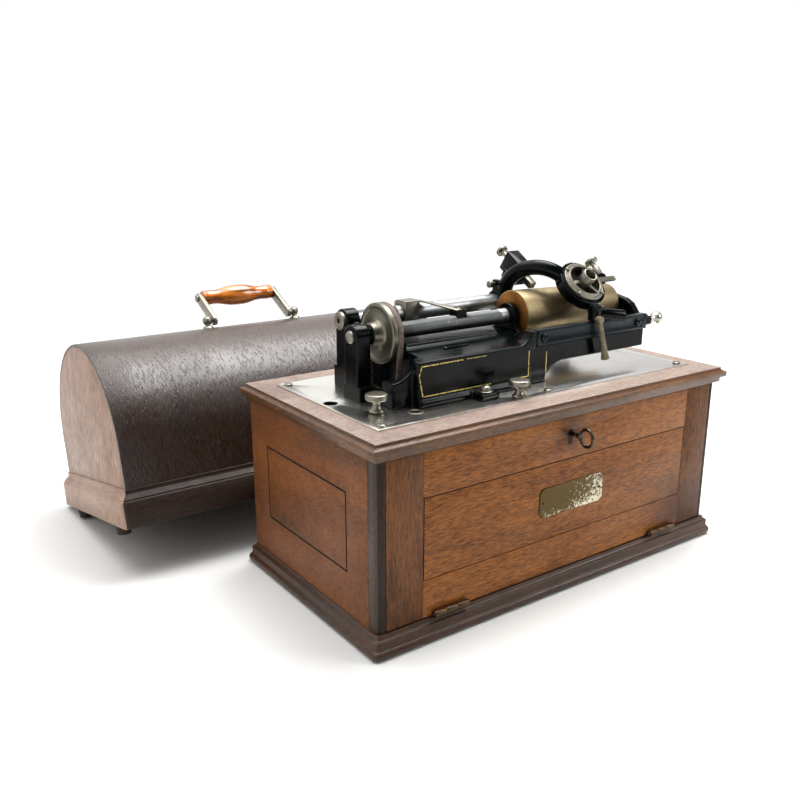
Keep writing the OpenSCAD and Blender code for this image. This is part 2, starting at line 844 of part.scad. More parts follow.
// Column, arched apron that carries the guide rail, and the wall behind the mandrel
module bed_apron() {
    for (wall = [[-bed_front + column_back, rail_h - 0.5], [bed_back - apron_t, deck_h]])
        plate_xz(wall[0], apron_t) difference() {
            translate([column_x, 0]) square([apron_x - column_x, wall[1]]);
            translate([arch_x, apron_h - arch_r]) circle(r = arch_r);
            translate([arch_x, -1]) square([apron_x - arch_x + 1, apron_h + 1]);
        }
    translate([rail_x, -bed_front + rail_t, apron_h])
        cube([apron_x - rail_x, column_back + apron_t - rail_t, rail_h + rail_bar - 3 - apron_h]);
    plate_xz(-bed_front, rail_t + 3) difference() {
        translate([column_x - 14, deck_h - 2]) square([rail_x - move_gap - column_x + 14,
            rail_top - deck_h + 2]);
        translate([column_x - 14, rail_top + 2]) circle(r = rail_top + 2 - deck_h);
    }
    translate([apron_x - 1, bed_back - apron_t - 2, gate_z0 - 10]) cube([13, apron_t + 2, 10 - move_gap]);
    translate([apron_x - 4, bed_back - apron_t, apron_h]) cube([4, apron_t, gate_z0 - move_gap - apron_h]);
}

// Upright that holds the right end of the back rod
module rod_bracket() {
    translate([rod_bracket_x, rod_y - rod_r - 5, rail_h]) cube([rod_bracket_t,
        bed_back - rod_y + rod_r + 5, rod_h - rail_h]);
    translate([0, rod_y, rod_h]) rod_x(rod_r + 5, rod_bracket_x, rod_bracket_x + rod_bracket_t);
}

module bed_screws() {
    color(nickel) on_plate() {
        translate([lug_x, -bed_front - lug_out / 2, lug_t]) {
            difference() {
                cylinder(r = 7, h = 1.4);
                translate([0, 0, -1]) cylinder(r = plate_screw_r + fixed_fit, h = 4);
            }
            translate([0, 0, 1.4]) dome_screw(5.4, 4, plate_screw_r, lug_t + plate_t + 1.4);
        }
        for (x = rail_screws_x) translate([x, -bed_front, rail_h + rail_bar / 2]) rotate([90, 0, 0])
            translate([0, 0, -2]) dome_screw(4.2, 2.6, plate_screw_r, 14);
        translate([front_post_x, 0, axis_h]) rotate([0, -90, 0]) dome_screw(6, 3.4, 4, 8);
    }
}

module front_post() {
    color(japan) on_plate() difference() {
        union() {
            plate_yz(front_post_x, front_post_t) arch_shape(front_post_w, axis_h);
            translate([front_post_x, -front_post_w - 4, 0]) cube([front_post_t, 2 * front_post_w + 8, 13]);
            translate([0, 0, axis_h]) rod_x(9.5, collar_x - 1, collar_x + collar_l);
            translate([front_post_x + front_post_t / 2, 0, axis_h + front_post_w - 1])
                cylinder(r = 2.4, h = 2.6);
        }
        translate([0, 0, axis_h]) rod_x(4 + fixed_fit, front_post_x - 1, front_post_x + 8.3);
        translate([0, 0, axis_h]) rod_x(shaft_r + run_fit, front_post_x + 8.2, collar_x + collar_l + 1);
    }
}

module rear_post() {
    color(japan) on_plate() difference() {
        union() {
            translate([0, rod_y, 0]) plate_yz(rear_post_x, rear_post_t) arch_shape(rear_post_w, rod_h);
            translate([rear_post_x, rod_y - rear_post_w, 0]) cube([rear_post_t, 2 * rear_post_w + 5, 20]);
        }
        translate([0, rod_y, rod_h]) rod_x(rod_r + fixed_fit, rear_post_x - 1,
            rear_post_x + rear_post_t + 1);
    }
}

module back_rod() {
    color(steel) on_rod() difference() {
        union() {
            rod_x(rod_r, rear_post_x - 1, rod_bracket_x + rod_bracket_t);
            rod_x(cap_r, rear_post_x - 3, rear_post_x);
        }
        rod_x(cap_r - 2.2, rear_post_x - 4, rear_post_x - 2.2);
        rod_x(1.2, rear_post_x - 4, rear_post_x + 6);
    }
}

module guide_rail() {
    color("#23292b") on_plate() difference() {
        translate([rail_x, -bed_front, rail_h]) cube([rail_end - rail_x, rail_t, rail_bar]);
        for (x = rail_screws_x) translate([x, 0, rail_h + rail_bar / 2]) {
            rod_y(plate_screw_r + fixed_fit, -bed_front - 1, 0);
            rod_y(4.2 + fixed_fit, -bed_front - 1, -bed_front + 2);
        }
    }
}

module centre_bearing() {
    base = deck_h + deck_rise;
    foot = 8;
    color(japan) on_plate() difference() {
        union() {
            translate([0, 0, axis_h]) rod_x(bearing_r, bearing_x, bearing_x + bearing_t);
            translate([bearing_x, -bearing_r, base]) cube([bed_x1 - bearing_x, 2 * bearing_r,
                axis_h - base]);
            plate_yz(bearing_x, bed_x1 - bearing_x) difference() {
                translate([-bearing_r - foot, base]) square([2 * (bearing_r + foot), foot]);
                for (s = [-1, 1]) translate([s * (bearing_r + foot), base + foot]) circle(r = foot - 0.5);
            }
        }
        translate([0, 0, axis_h]) rod_x(journal_r + run_fit, bearing_x - 1, bearing_x + bearing_t + 1);
    }
}

// Spindle

module feed_shaft() {
    color(steel) on_plate() translate([0, 0, axis_h]) {
        rod_x(shaft_r, front_post_x + 8.6, spindle_end);
        rod_x(screw_r, pulley_end + 0.2, bearing_x - move_gap);
        rod_x(journal_r, bearing_x - 1, mandrel_x - fixed_fit);
    }
}

module drive_pulley() {
    color(nickel) on_spindle() rotate_extrude() polygon([
        [shaft_r + fixed_fit, hub_x], [hub_r - 1, hub_x], [hub_r, hub_x + 1], [hub_r - 2.5, flange_x - 2],
        [hub_r, flange_x + 3], [pulley_r - 5, flange_x + 1.4], [pulley_r - 2.2, flange_x],
        [pulley_r, flange_x + 1.6], [pulley_r, belt_x - 0.3], [seat_r, belt_x - 0.3], [seat_r, pulley_end],
        [shaft_r + fixed_fit, pulley_end]
    ]);
}

module mandrel() {
    wall = 2.5;
    recess = 16;
    slope = (mandrel_r2 - mandrel_r1) / mandrel_l;
    color(brass) on_spindle(mandrel_x) rotate_extrude($fn = 96) polygon([
        [shaft_r + fixed_fit, 0], [mandrel_r1 - 0.6, 0], [mandrel_r1, 0.6], [mandrel_r2, mandrel_l - 0.6],
        [mandrel_r2 - 0.6, mandrel_l], [mandrel_r2 - wall, mandrel_l],
        [mandrel_r1 + slope * recess - wall, recess], [shaft_r + 4, recess], [shaft_r + 4, mandrel_l],
        [shaft_r + fixed_fit, mandrel_l]
    ]);
}

// Closed loop round the two pulleys, drawn across the spindle
module belt_loop(grow) {
    hull() {
        translate([0, axis_h + motor_drop]) circle(r = seat_r + 0.3 + grow, $fn = 48);
        circle(r = motor_pulley_r + 0.3 + grow, $fn = 32);
    }
}

module belt() {
    color("#5d4f4a") translate([0, 0, motor_z]) plate_yz(belt_x, belt_w) difference() {
        belt_loop(belt_t);
        belt_loop(0);
    }
}

// Motor

module motor_frame() {
    color("#2d3233") {
        translate([yoke_x - 22, -core_y - 17, plate_under - yoke_t]) cube([44, 2 * core_y + 34, yoke_t]);
        for (x = hanger_x) difference() {
            translate([x, -hanger_w, motor_z]) cube([hanger_t, 2 * hanger_w, plate_under - motor_z]);
            translate([0, 0, motor_z]) rod_x(motor_shaft_r + run_fit, x - 1, x + hanger_t + 1);
        }
        for (x = hanger_x) translate([0, 0, motor_z]) difference() {
            rod_x(hanger_w, x, x + hanger_t);
            rod_x(motor_shaft_r + run_fit, x - 1, x + hanger_t + 1);
        }
    }
}

module pole_pieces() {
    color("#3c4244") for (s = [-1, 1]) {
        difference() {
            translate([yoke_x - pole_l / 2, s > 0 ? 8 : -core_y - 17, motor_z - pole_h])
                cube([pole_l, core_y + 9, 2 * pole_h]);
            translate([0, 0, motor_z]) rod_x(armature_r + air_gap, yoke_x - pole_l, yoke_x + pole_l);
        }
        translate([yoke_x, s * core_y, motor_z]) cylinder(r = core_r, h = plate_under - yoke_t - motor_z);
    }
}

module field_coils() {
    color("#5a2f22") for (s = [-1, 1]) translate([yoke_x, s * core_y, motor_z + pole_h]) difference() {
        cylinder(r = coil_r, h = plate_under - yoke_t - motor_z - pole_h);
        translate([0, 0, -1]) cylinder(r = core_r + fixed_fit, h = motor_drop);
    }
}

module brush_holders() {
    color(brass) for (s = [-1, 1]) {
        y0 = s > 0 ? commutator_r + move_gap : -commutator_r - move_gap - 7;
        translate([commutator_x + 5, y0, motor_z - 3]) cube([hanger_x[1] - commutator_x - 5, 7, 6]);
    }
}

module motor_shaft() {
    flange = motor_pulley_r + belt_t + 0.8;
    color(steel) translate([0, 0, motor_z]) {
        rod_x(motor_shaft_r, motor_pulley_x - 6, hanger_x[1] + hanger_t + 8);
        rod_x(motor_pulley_r, motor_pulley_x, motor_pulley_x + belt_w + 6);
        rod_x(flange, motor_pulley_x, belt_x - move_gap);
        rod_x(flange, belt_x + belt_w + move_gap, belt_x + belt_w + move_gap + 2.5);
    }
}

module armature() {
    color("#6a4a2a") translate([0, 0, motor_z]) difference() {
        rod_x(armature_r, yoke_x - pole_l / 2 + 2, yoke_x + pole_l / 2 - 2);
        rod_x(motor_shaft_r + fixed_fit, -200, 200);
    }
}

module commutator() {
    color("#a8643a") translate([0, 0, motor_z]) difference() {
        rod_x(commutator_r, commutator_x, commutator_x + commutator_l);
        rod_x(motor_shaft_r + fixed_fit, -200, 200);
    }
}

// Carriage

module carriage_bush() {
    color(brass) on_rod() difference() {
        rod_x(bush_r, sleeve_x0 - 1.5, sleeve_x1 + 1.5);
        rod_x(rod_r + run_fit, sleeve_x0 - 3, sleeve_x1 + 3);
    }
}

module carriage_sleeve() {
    color("#b8bcbc") on_rod() difference() {
        rod_x(sleeve_r, sleeve_x0, sleeve_x1);
        rod_x(bush_r + run_fit, sleeve_x0 - 1, sleeve_x1 + 1);
    }
}

module feed_nut_block() {
    color(nickel) on_plate() difference() {
        translate([nut_block_x, rod_y - nut_block_w, rod_h - sleeve_r - 4])
            cube([nut_block_l, 2 * nut_block_w, nut_block_top - rod_h + sleeve_r + 4]);
        translate([0, rod_y, rod_h]) rod_x(sleeve_r + fixed_fit, nut_block_x - 1,
            nut_block_x + nut_block_l + 1);
    }
}

module nut_spring() {
    color(nickel) on_plate() {
        translate([nut_block_x, rod_y - nut_block_w, nut_block_top + eps])
            cube([nut_block_l + 2, 2 * nut_block_w - 3, strip_t]);
        hull() {
            translate([nut_block_x + nut_block_l + 0.4, rod_y - nut_block_w, nut_block_top + eps])
                cube([1.6, 2 * nut_block_w - 3, strip_t]);
            translate([half_nut_x, -half_nut_w, half_nut_top]) cube([half_nut_l, 2 * half_nut_w, strip_t]);
        }
        difference() {
            translate([half_nut_x, -half_nut_w, axis_h + 3]) cube([half_nut_l, 2 * half_nut_w,
                half_nut_top - axis_h - 3 + eps]);
            translate([0, 0, axis_h]) rod_x(screw_r + move_gap, half_nut_x - 1,
                half_nut_x + half_nut_l + 1);
        }
    }
}

module carriage_arm() {
    color(japan) difference() {
        union() {
            on_rod() rod_x(boss_r, boss_x0, boss_x1);
            on_plate() bent_bar(arm_start, arm_top, arm_end, arm_r);
            in_eye() translate([0, 0, -eye_t / 2]) cylinder(r = eye_r, h = eye_t);
            in_eye() translate([eye_lug[0], eye_lug[1], -eye_lug[2] / 2])
                cube([eye_lug_l, eye_lug_top - eye_lug[1], eye_lug[2]]);
            in_box() translate([-9, -box_l / 2 + 2, -box_h / 2 + 1]) cube([9 - fixed_fit, 14, 10]);
            on_rod() translate([boss_x0 + 0.6, -5, boss_r - 4]) cube([6, 10, lug_rise + 8]);
            on_plate() translate([leg_x, -bed_front, rail_top + move_gap])
                cube([leg_w, rail_t, eye_low[2] + 2 - rail_top]);
            on_plate() translate(lift_at) rotate([0, 90 + lift_drop, lift_turn])
                cylinder(r = lift_r, h = lift_l);
        }
        on_rod() rod_x(sleeve_r + fixed_fit, boss_x0 - 1, boss_x1 + 1);
        in_eye() cylinder(r = repro_r + fixed_fit, h = 4 * eye_t, center = true);
        on_plate() translate([lever_at[0], 0, lever_at[2]])
            rod_y(lever_pin_r + run_fit, -bed_front - 12, -bed_front + rail_t + 2);
        on_rod() translate([0, 0, boss_r + lug_rise]) rod_x(2 + fixed_fit, boss_x0 - 1, boss_x0 + 8);
        in_eye() translate([eye_screw_x, -10, 0]) rotate([-90, 0, 0])
            cylinder(r = eye_screw_r + fixed_fit, h = 40);
    }
}

module arm_screws() {
    color(nickel) {
        on_rod() translate([0, 0, boss_r + lug_rise]) {
            rod_x(2, boss_x0 - 4, boss_x0 + 6);
            rod_x(3.6, boss_x0 - 9, boss_x0 - 4);
        }
        in_eye() translate([eye_screw_x, eye_lug[1] + 1, 0]) rotate([-90, 0, 0]) {
            cylinder(r = eye_screw_r, h = 26);
            translate([0, 0, eye_lug_top - eye_lug[1] - 1 + fixed_fit]) cylinder(r = 4, h = 10);
            translate([0, 0, 25]) cylinder(r = 7, h = 3);
        }
    }
}

module reproducer() {
    lip = eye_t / 2 + 0.02;
    tube_r = 7.5;
    color(nickel) in_eye() {
        difference() {
            union() {
                translate([0, 0, -eye_t / 2 - 4]) cylinder(r = repro_r, h = eye_t + 4 + 0.02);
                translate([0, 0, lip]) cylinder(r = repro_r + 1.6, h = 3);
                translate([0, 0, lip]) cylinder(r = repro_r - 2, h = 5);
            }
            for (a = [90, 210, 330]) rotate([0, 0, a]) translate([0, 0, lip - 3]) difference() {
                intersection() {
                    cylinder(r = repro_r - 5, h = 20);
                    translate([3, 3, 0]) rotate([0, 0, -15]) cube([40, 40, 20]);
                }
                cylinder(r = tube_r + 1, h = 20);
            }
            translate([0, 0, lip - 4]) cylinder(r = tube_r - 2, h = 60);
        }
        translate([0, 0, lip - 3]) difference() {
            cylinder(r = tube_r, h = 17);
            translate([0, 0, -1]) cylinder(r = tube_r - 1.6, h = 40);
        }
        translate([0, 0, -eye_t / 2 - 8]) cylinder(r = 3, h = 5);
        translate([repro_r - 1, -3, lip + 1]) cube([24, 5, 2.4]);
    }
}

module shaving_box() {
    color(japan) in_box() difference() {
        translate([0, -box_l / 2, -box_h / 2]) cube([box_w, box_l, box_h]);
        translate([box_w / 2 - knife_w / 2 - move_gap, -box_l / 2 - 1, -knife_h / 2 - move_gap])
            cube([knife_w + 2 * move_gap, box_l - 3, knife_h + 2 * move_gap]);
        translate([box_w / 2, 0, 0]) rod_y(knife_screw_r + run_fit, 0, box_l);
    }
}

module knife_holder() {
    color(nickel) in_box() translate([box_w / 2 - knife_w / 2, -box_l / 2 - 15, -knife_h / 2])
        cube([knife_w, knife_l, knife_h]);
}

module knife_screw() {
    color(nickel) in_box() translate([box_w / 2, 0, 0]) {
        rod_y(knife_screw_r, box_l / 2 - 9 + 1.2, box_l / 2 + 12);
        rod_y(4.4, box_l / 2 + move_gap, box_l / 2 + 3);
        rod_y(6.4, box_l / 2 + 12, box_l / 2 + 15);
    }
}

module lift_lever() {
    color("#7d7352") on_plate() translate(lever_at) {
        rod_y(lever_pin_r, -2, rail_t + 2);
        rod_y(3.4, -3, 2.4);
        rotate([0, 180 - lever_lean, 0]) translate([0, -0.4, 0]) {
            cylinder(r1 = 2.2, r2 = 3.4, h = lever_l - 6);
            translate([0, 0, lever_l - 6]) cylinder(r1 = 3.4, r2 = 4.4, h = 6);
        }
    }
}

// End gate

module gate_arm() {
    boss = 11;
    color(japan) on_plate() difference() {
        union() {
            plate_yz(gate_x, gate_t) union() {
                translate([0, axis_h]) circle(r = boss);
                polygon([
                    [0, axis_h + boss], [gate_pivot[1], gate_z0 + gate_barrel_h], [gate_pivot[1], gate_z0],
                    [0, axis_h - boss], [-bed_front + 3, rail_h + 2], [-bed_front, rail_h + 4],
                    [-bed_front, rail_top - 4.5], [-bed_front + 1, rail_top - 3.5],
                    [-bed_front + 16, rail_top - 2.5], [-3 * boss, axis_h + 2.5], [-25, axis_h + 6.5],
                    [-14, axis_h + 8.5]
                ]);
            }
            translate([gate_pivot[0], gate_pivot[1], gate_z0]) cylinder(r = gate_barrel_r,
                h = gate_barrel_h);
            translate([0, 0, axis_h]) rod_x(7, spindle_end + move_gap, gate_x + gate_t + 6);
        }
        translate([gate_pivot[0], gate_pivot[1], gate_z0 - 1]) cylinder(r = gate_pin_r + run_fit,
            h = gate_barrel_h + 2);
    }
}

module gate_knob() {
    color(nickel) on_plate() translate([0, -bed_front + 6, rail_h + rail_bar / 2]) {
        rod_x(3.4, gate_x + gate_t, ball_x);
        rod_x(5, gate_x + gate_t, gate_x + gate_t + 2);
        translate([ball_x, 0, 0]) sphere(r = ball_r);
    }
}

// Cover

// Puts a solid of the cover, made upright round its middle, in its leaning place
module on_cover() {
    translate([cover_mid, cover_y, cover_z]) rotate([-cover_lean, 0, 0])
        translate([0, cover_d / 2, -foot_h]) children();
}

// Arched outline of the cover, drawn in from its face by the given distance
module cover_arch(inset) {
    translate([-shell_r + inset, skirt_top]) square([2 * (shell_r - inset), cover_side]);
    translate([0, arch_z]) difference() {
        circle(r = shell_r - inset, $fn = 128);
        translate([-shell_r, -2 * shell_r]) square(2 * shell_r);
    }
}

module cover_shell() {
    color(cover_wood) on_cover() plate_yz(-shell_l / 2, shell_l) difference() {
        cover_arch(0);
        cover_arch(shell_t);
        translate([-shell_r + shell_t, skirt_top - 1]) square([2 * (shell_r - shell_t), 2]);
    }
}

module cover_ends() {
    color("#a58c7d") on_cover() for (x = [-shell_l / 2, shell_l / 2 - end_t])
        plate_yz(x, end_t) cover_arch(shell_t + fixed_fit);
}

module skirt_profile() {
    band = skirt_h - 11;
    translate([-skirt_wall, 0]) square([skirt_wall, skirt_h]);
    square([skirt_out, band]);
    translate([0, band]) square([skirt_out - 1.6, 2]);
    difference() {
        translate([0, band]) square([skirt_out - 2.4, 8.5]);
        translate([skirt_out - 2.4, band + 8.5]) circle(r = 4.6);
    }
    translate([0, band]) square([1.6, 11]);
}

module cover_skirt() {
    color(cover_wood) on_cover() translate([0, 0, foot_h])
        mitred_ring(shell_l, 2 * shell_r, skirt_wall, skirt_h) skirt_profile();
}

module cover_feet() {
    color("#3a2c20") on_cover() for (sx = [-1, 1], sy = [-1, 1])
        translate([sx * (cover_l / 2 - foot_end_in), sy * (cover_d / 2 - foot_side_in), 0])
            cylinder(r1 = foot_r, r2 = foot_r + 1.5, h = foot_h);
}

// Axis that the bail turns on
module on_bail() {
    on_cover() translate([0, 0, crown_z + pivot_h]) children();
}

module handle_posts() {
    color(nickel) for (s = [-1, 1]) on_bail() translate([s * handle_l / 2, 0, 0]) difference() {
        union() {
            sphere(r = ball_post_r);
            translate([0, 0, -pivot_h - 0.6]) cylinder(r = 3.2, h = pivot_h);
            translate([0, 0, -pivot_h - 0.6]) cylinder(r1 = 7, r2 = 5, h = 2.6);
        }
        rod_x(bail_pin_r + run_fit, -ball_post_r - 1, ball_post_r + 1);
        translate([0, 0, -pivot_h - shell_r]) rod_x(shell_r + fixed_fit, -10, 10);
    }
}

module bail_frame() {
    on_bail() rotate([-bail_lean, 0, 0]) children();
}

module handle_bail() {
    pin_end = bail_in + move_gap + 2 * ball_post_r - 0.3;
    color(nickel) bail_frame() {
        for (s = [-1, 1]) mirror([s > 0 ? 0 : 1, 0, 0]) {
            rod_x(bail_pin_r, bail_in - bail_t, pin_end);
            plate_yz(bail_in - bail_t, bail_t) bar_shape(6, [0, bail_l], 6);
            translate([0, 0, bail_l]) rod_x(4.4, bail_in - 1, bail_in + 2);
        }
        translate([0, 0, bail_l]) rod_x(bail_pin_r, -bail_in, bail_in);
    }
}

module handle_grip() {
    side = [[8.2, 0], [8.9, 1.5], [8.9, 8], [8.6, 16], [9.4, 23], [11.4, 31], [12.3, 38], [12.6, grip_half]];
    color("#b56a2a") bail_frame() translate([-grip_half, 0, bail_l]) rotate([0, 90, 0]) rotate_extrude()
        polygon([
            [bail_pin_r + fixed_fit, 0], each side,
            for (i = [len(side) - 2 : -1 : 0]) [side[i][0], 2 * grip_half - side[i][1]],
            [bail_pin_r + fixed_fit, 2 * grip_half]
        ]);
}

base_moulding();
case_floor();
left_side();
right_side();
back_panel();
corner_posts();
top_slab();
bedplate();
plate_screws();
bed_casting();
bed_screws();
front_post();
rear_post();
centre_bearing();
back_rod();
guide_rail();
belt();
motor_frame();
pole_pieces();
field_coils();
brush_holders();
binding_posts();
hinge_leaves();
hinge_pins();
door_stiles();
door_rails();
door_panel();
door_hinges();
name_plate();
lock_case();
key();
lock_bolt();
thumbscrew_left();
thumbscrew_right();
feed_shaft();
drive_pulley();
mandrel();
motor_shaft();
armature();
commutator();
carriage_bush();
carriage_sleeve();
feed_nut_block();
nut_spring();
carriage_arm();
arm_screws();
reproducer();
shaving_box();
knife_holder();
knife_screw();
lift_lever();
gate_arm();
gate_knob();
cover_shell();
cover_ends();
cover_skirt();
cover_feet();
handle_posts();
handle_bail();
handle_grip();
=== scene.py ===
"""Looks of a cylinder phonograph with its lift-off cover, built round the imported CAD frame."""

import json
import math

import bmesh
import bpy
from bpy.props import FloatProperty, FloatVectorProperty, PointerProperty
from mathutils import Matrix, Vector


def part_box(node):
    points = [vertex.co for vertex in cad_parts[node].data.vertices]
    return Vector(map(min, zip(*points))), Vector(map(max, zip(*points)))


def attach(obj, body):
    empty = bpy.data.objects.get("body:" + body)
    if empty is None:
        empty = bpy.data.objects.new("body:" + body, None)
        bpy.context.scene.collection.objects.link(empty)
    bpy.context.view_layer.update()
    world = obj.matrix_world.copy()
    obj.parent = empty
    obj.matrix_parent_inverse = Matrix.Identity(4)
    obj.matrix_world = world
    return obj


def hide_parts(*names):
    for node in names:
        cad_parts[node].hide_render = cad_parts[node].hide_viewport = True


bl_info = {
    "name": "Cylinder phonograph",
    "version": (1, 0, 0),
    "blender": (4, 5, 0),
    "location": "3D View > Sidebar > Phonograph",
    "description": "Dresses the packed phonograph: oak case, castings, plated fittings, cover and stage",
    "category": "Object",
}

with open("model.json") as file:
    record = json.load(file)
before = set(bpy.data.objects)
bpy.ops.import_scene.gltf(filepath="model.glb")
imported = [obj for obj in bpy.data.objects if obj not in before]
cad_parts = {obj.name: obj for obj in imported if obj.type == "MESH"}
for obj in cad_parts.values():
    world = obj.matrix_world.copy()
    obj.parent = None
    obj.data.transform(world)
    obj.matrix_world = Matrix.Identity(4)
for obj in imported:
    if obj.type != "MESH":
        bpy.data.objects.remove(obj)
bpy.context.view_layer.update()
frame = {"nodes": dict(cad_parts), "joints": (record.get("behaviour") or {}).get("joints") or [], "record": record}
NODES = frame["nodes"]
BODY_OF = {n: body for body, names in frame["record"]["behaviour"]["bodies"].items() for n in names}
JOINTS = {j["name"]: j for j in frame["joints"]}
MM = 0.001
X, Y, Z = Vector((1, 0, 0)), Vector((0, 1, 0)), Vector((0, 0, 1))
PLATE_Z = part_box("bedplate")[1].z / MM
AXIS = Vector((0, 0, JOINTS["spindle_turn"]["pos_m"][2] / MM))
ROD = Vector((0, *(v / MM for v in JOINTS["arm_lift"]["pos_m"][1:])))
FRONT_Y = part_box("door_panel")[0].y / MM
COVER_LEAN = math.radians(12.6)
# Height of the bail's pivot over the underside of the cover's feet, in millimetres
PIVOT_H = 206.7

# Tint, roughness, spots and seed of the fittings' metals
METALS = {
    "brown_bronze": ("#5b4838", 0.36, 0.5, 7.7),
    "lock_brass": ("#96793f", 0.3, 0.4, 8.8),
    "pin_iron": ("#3a332b", 0.4, 0.3, 9.4),
    "key_iron": ("#4a443c", 0.2, 0.4, 10.3),
    "blued_rail_steel": ("#2b3033", 0.26, 0.3, 12.4),
    "faced_red_brass": ("#ad763a", 0.42, 0.7, 15.9),
    # near-black iron for the insides of holes; the thin discs that take it stand where a hole's shade is, as
    # painted shade
    "sooty_iron": ("#2a2620", 0.6, 0.2, 16.5),
    "blackened_nut": ("#2a2824", 0.4, 0.4, 16.8),
    "commutator_copper": ("#b3683c", 0.28, 0.3, 21.0),
    "bright_knob_nickel": ("#bdbab0", 0.24, 0.2, 27.0),
    # the pulley's nickel is darker than the other nickel: painted shade of the hub's shadows and dark reflections
    "dulled_pulley_nickel": ("#7a766a", 0.32, 0.3, 28.0),
}
# Light and dark tone, roughness, coat, cells per metre along each axis and seed of what is coated or soft
COATINGS = {
    "belt_leather": ("#6b5a50", "#40332d", 0.62, 0.0, (300, 300, 300), 14.0),
    "yellowed_bone": ("#7d7258", "#4f4735", 0.38, 0.2, (180, 180, 180), 17.1),
    "shellacked_wire": ("#7a3d24", "#4d2416", 0.35, 0.4, (500, 500, 500), 19.0),
    "armature_varnish": ("#6a4a2a", "#3c2a1a", 0.4, 0.3, (60, 300, 300), 20.0),
    # near-black of the scored lines and the keyhole: painted shade in grooves and holes
    "grimy_score": ("#160d07", "#0a0603", 0.9, 0.0, (200, 200, 200), 29.0),
}


def linear(value):
    """Linear RGB of an sRGB hex colour."""
    parts = [int(value[i:i + 2], 16) / 255 for i in (1, 3, 5)]
    return tuple(c / 12.92 if c <= 0.04045 else ((c + 0.055) / 1.055) ** 2.4 for c in parts)


def colour(name, value, words):
    """A colour property with an sRGB hex default."""
    return FloatVectorProperty(name=name, description=words, subtype="COLOR", size=3, min=0, max=1,
                               default=linear(value))


def length(name, mm, words):
    """A length property with its default in millimetres."""
    return FloatProperty(name=name, description=words, unit="LENGTH", min=0, default=mm * MM, precision=5)


def strength(name, value, words, least=0):
    """A plain property of the stage."""
    return FloatProperty(name=name, description=words, min=least, default=value)


class CaseSettings(bpy.types.PropertyGroup):
    """Colours and sizes of the oak case and its door."""

    door_light: colour("Door oak", "#9d6025", "Golden early wood of the door")
    door_dark: colour("Door grain", "#5f3410", "Late wood and figure of the door")
    side_light: colour("Side oak", "#864f28", "Reddish wood of the sides")
    side_dark: colour("Side grain", "#4d2f19", "Figure of the sides")
    stile_light: colour("Stile oak", "#774820", "Wood of the door stiles and the back")
    stile_dark: colour("Stile grain", "#41250f", "Figure of the stiles")
    slab_light: colour("Slab oak", "#a39183", "Faded wood of the top slab")
    slab_dark: colour("Slab grain", "#705d56", "Figure of the top slab")
    base_light: colour("Base oak", "#4f321c", "Dark stained wood of the base moulding")
    base_dark: colour("Base grain", "#28180d", "Figure of the base moulding")
    rim_light: colour("Rim oak", "#734c2d", "Wood of the top slab's moulded edge")
    rim_dark: colour("Rim grain", "#402916", "Figure of the slab's edge")
    edge: length("Worn edge", 0.7, "Width of the worn round on the wooden edges")


class WorksSettings(bpy.types.PropertyGroup):
    """Colours and sizes of the top works."""

    japan: colour("Japan black", "#030607", "Black varnish of the castings")
    gold: colour("Gold line", "#d8c068", "Gold size of the hand-drawn lines")
    nickel: colour("Nickel", "#8d897d", "Warm aged nickel plate")
    plate: colour("Bedplate nickel", "#e6e4de", "Polished plate of the bed")
    steel: colour("Steel", "#a3a5a6", "Bright steel of the rods")
    screw: colour("Feed screw steel", "#8a8c8c", "Oiled steel of the feed screw")
    brass: colour("Mandrel brass", "#978767", "Satin brass of the mandrel")
    stripe: length("Line width", 1.0, "Width of the gold lines")
    pitch: length("Thread pitch", 0.5, "Pitch at which the fine feed thread is drawn")
    sand: length("Casting round", 0.9, "Grain at which the castings' corners are rounded")


class CoverSettings(bpy.types.PropertyGroup):
    """Colours of the bentwood cover."""

    shell_light: colour("Shell oak", "#36261d", "Faded stain of the bent shell")
    shell_dark: colour("Shell grain", "#1e130f", "Pores and late wood of the shell")
    end_light: colour("End oak", "#af8e79", "Bleached wood of the end panels")
    end_dark: colour("End grain", "#7e604e", "Figure of the end panels")
    grip: colour("Grip varnish", "#e68526", "Amber varnish of the turned grip")


class StageSettings(bpy.types.PropertyGroup):
    """Floor, light and camera."""

    floor: colour("Floor", "#dededc", "Pale floor of the studio")
    lens: strength("Lens", 38.78, "Focal length on a 36 mm sensor, in millimetres", 10)
    sky: strength("Fill", 1.05, "Strength of the even light of the white sweep")
    room: strength("Room", 0.05, "Strength of the dim room that the front faces look into")
    top: strength("Overhead light", 80, "Power of the large soft box, in watts")
    key: strength("Key light", 40, "Power of the soft box above the front, in watts")
    front: strength("Front light", 12, "Power of the soft box at the right front, in watts")


def add(tree, kind, settings=None, inputs=None):
    """Adds a node with its settings; an input that is a socket is linked, any other is set."""
    node = tree.nodes.new(kind)
    for key, value in (settings or {}).items():
        if key == "stops":
            ramp_stops = node.color_ramp
            while len(ramp_stops.elements) < len(value):
                ramp_stops.elements.new(0.5)
            for element, (place, shade) in zip(ramp_stops.elements, value):
                element.position = place
                element.color = (*shade, 1) if hasattr(shade, "__len__") else (shade, shade, shade, 1)
        else:
            setattr(node, key, value)
    for key, value in (inputs or {}).items():
        if isinstance(value, bpy.types.NodeSocket):
            tree.links.new(value, node.inputs[key])
        elif hasattr(value, "__len__") and len(value) == 3 and node.inputs[key].type == "RGBA":
            node.inputs[key].default_value = (*value, 1)
        else:
            node.inputs[key].default_value = value
    return node


def laid(tree, vector, **inputs):
    """A place moved or scaled."""
    return add(tree, "ShaderNodeMapping", None, {"Vector": vector, **inputs}).outputs[0]


def noise(tree, vector, scale, detail, roughness=0.5, distortion=0.0):
    """The value of a noise."""
    return add(tree, "ShaderNodeTexNoise", None,
               {"Vector": vector, "Scale": scale, "Detail": detail, "Roughness": roughness,
                "Distortion": distortion}).outputs[0]


def ramp(tree, value, *stops):
    """A value laid on (place, shade) stops."""
    return add(tree, "ShaderNodeValToRGB", {"stops": stops}, {"Fac": value}).outputs[0]


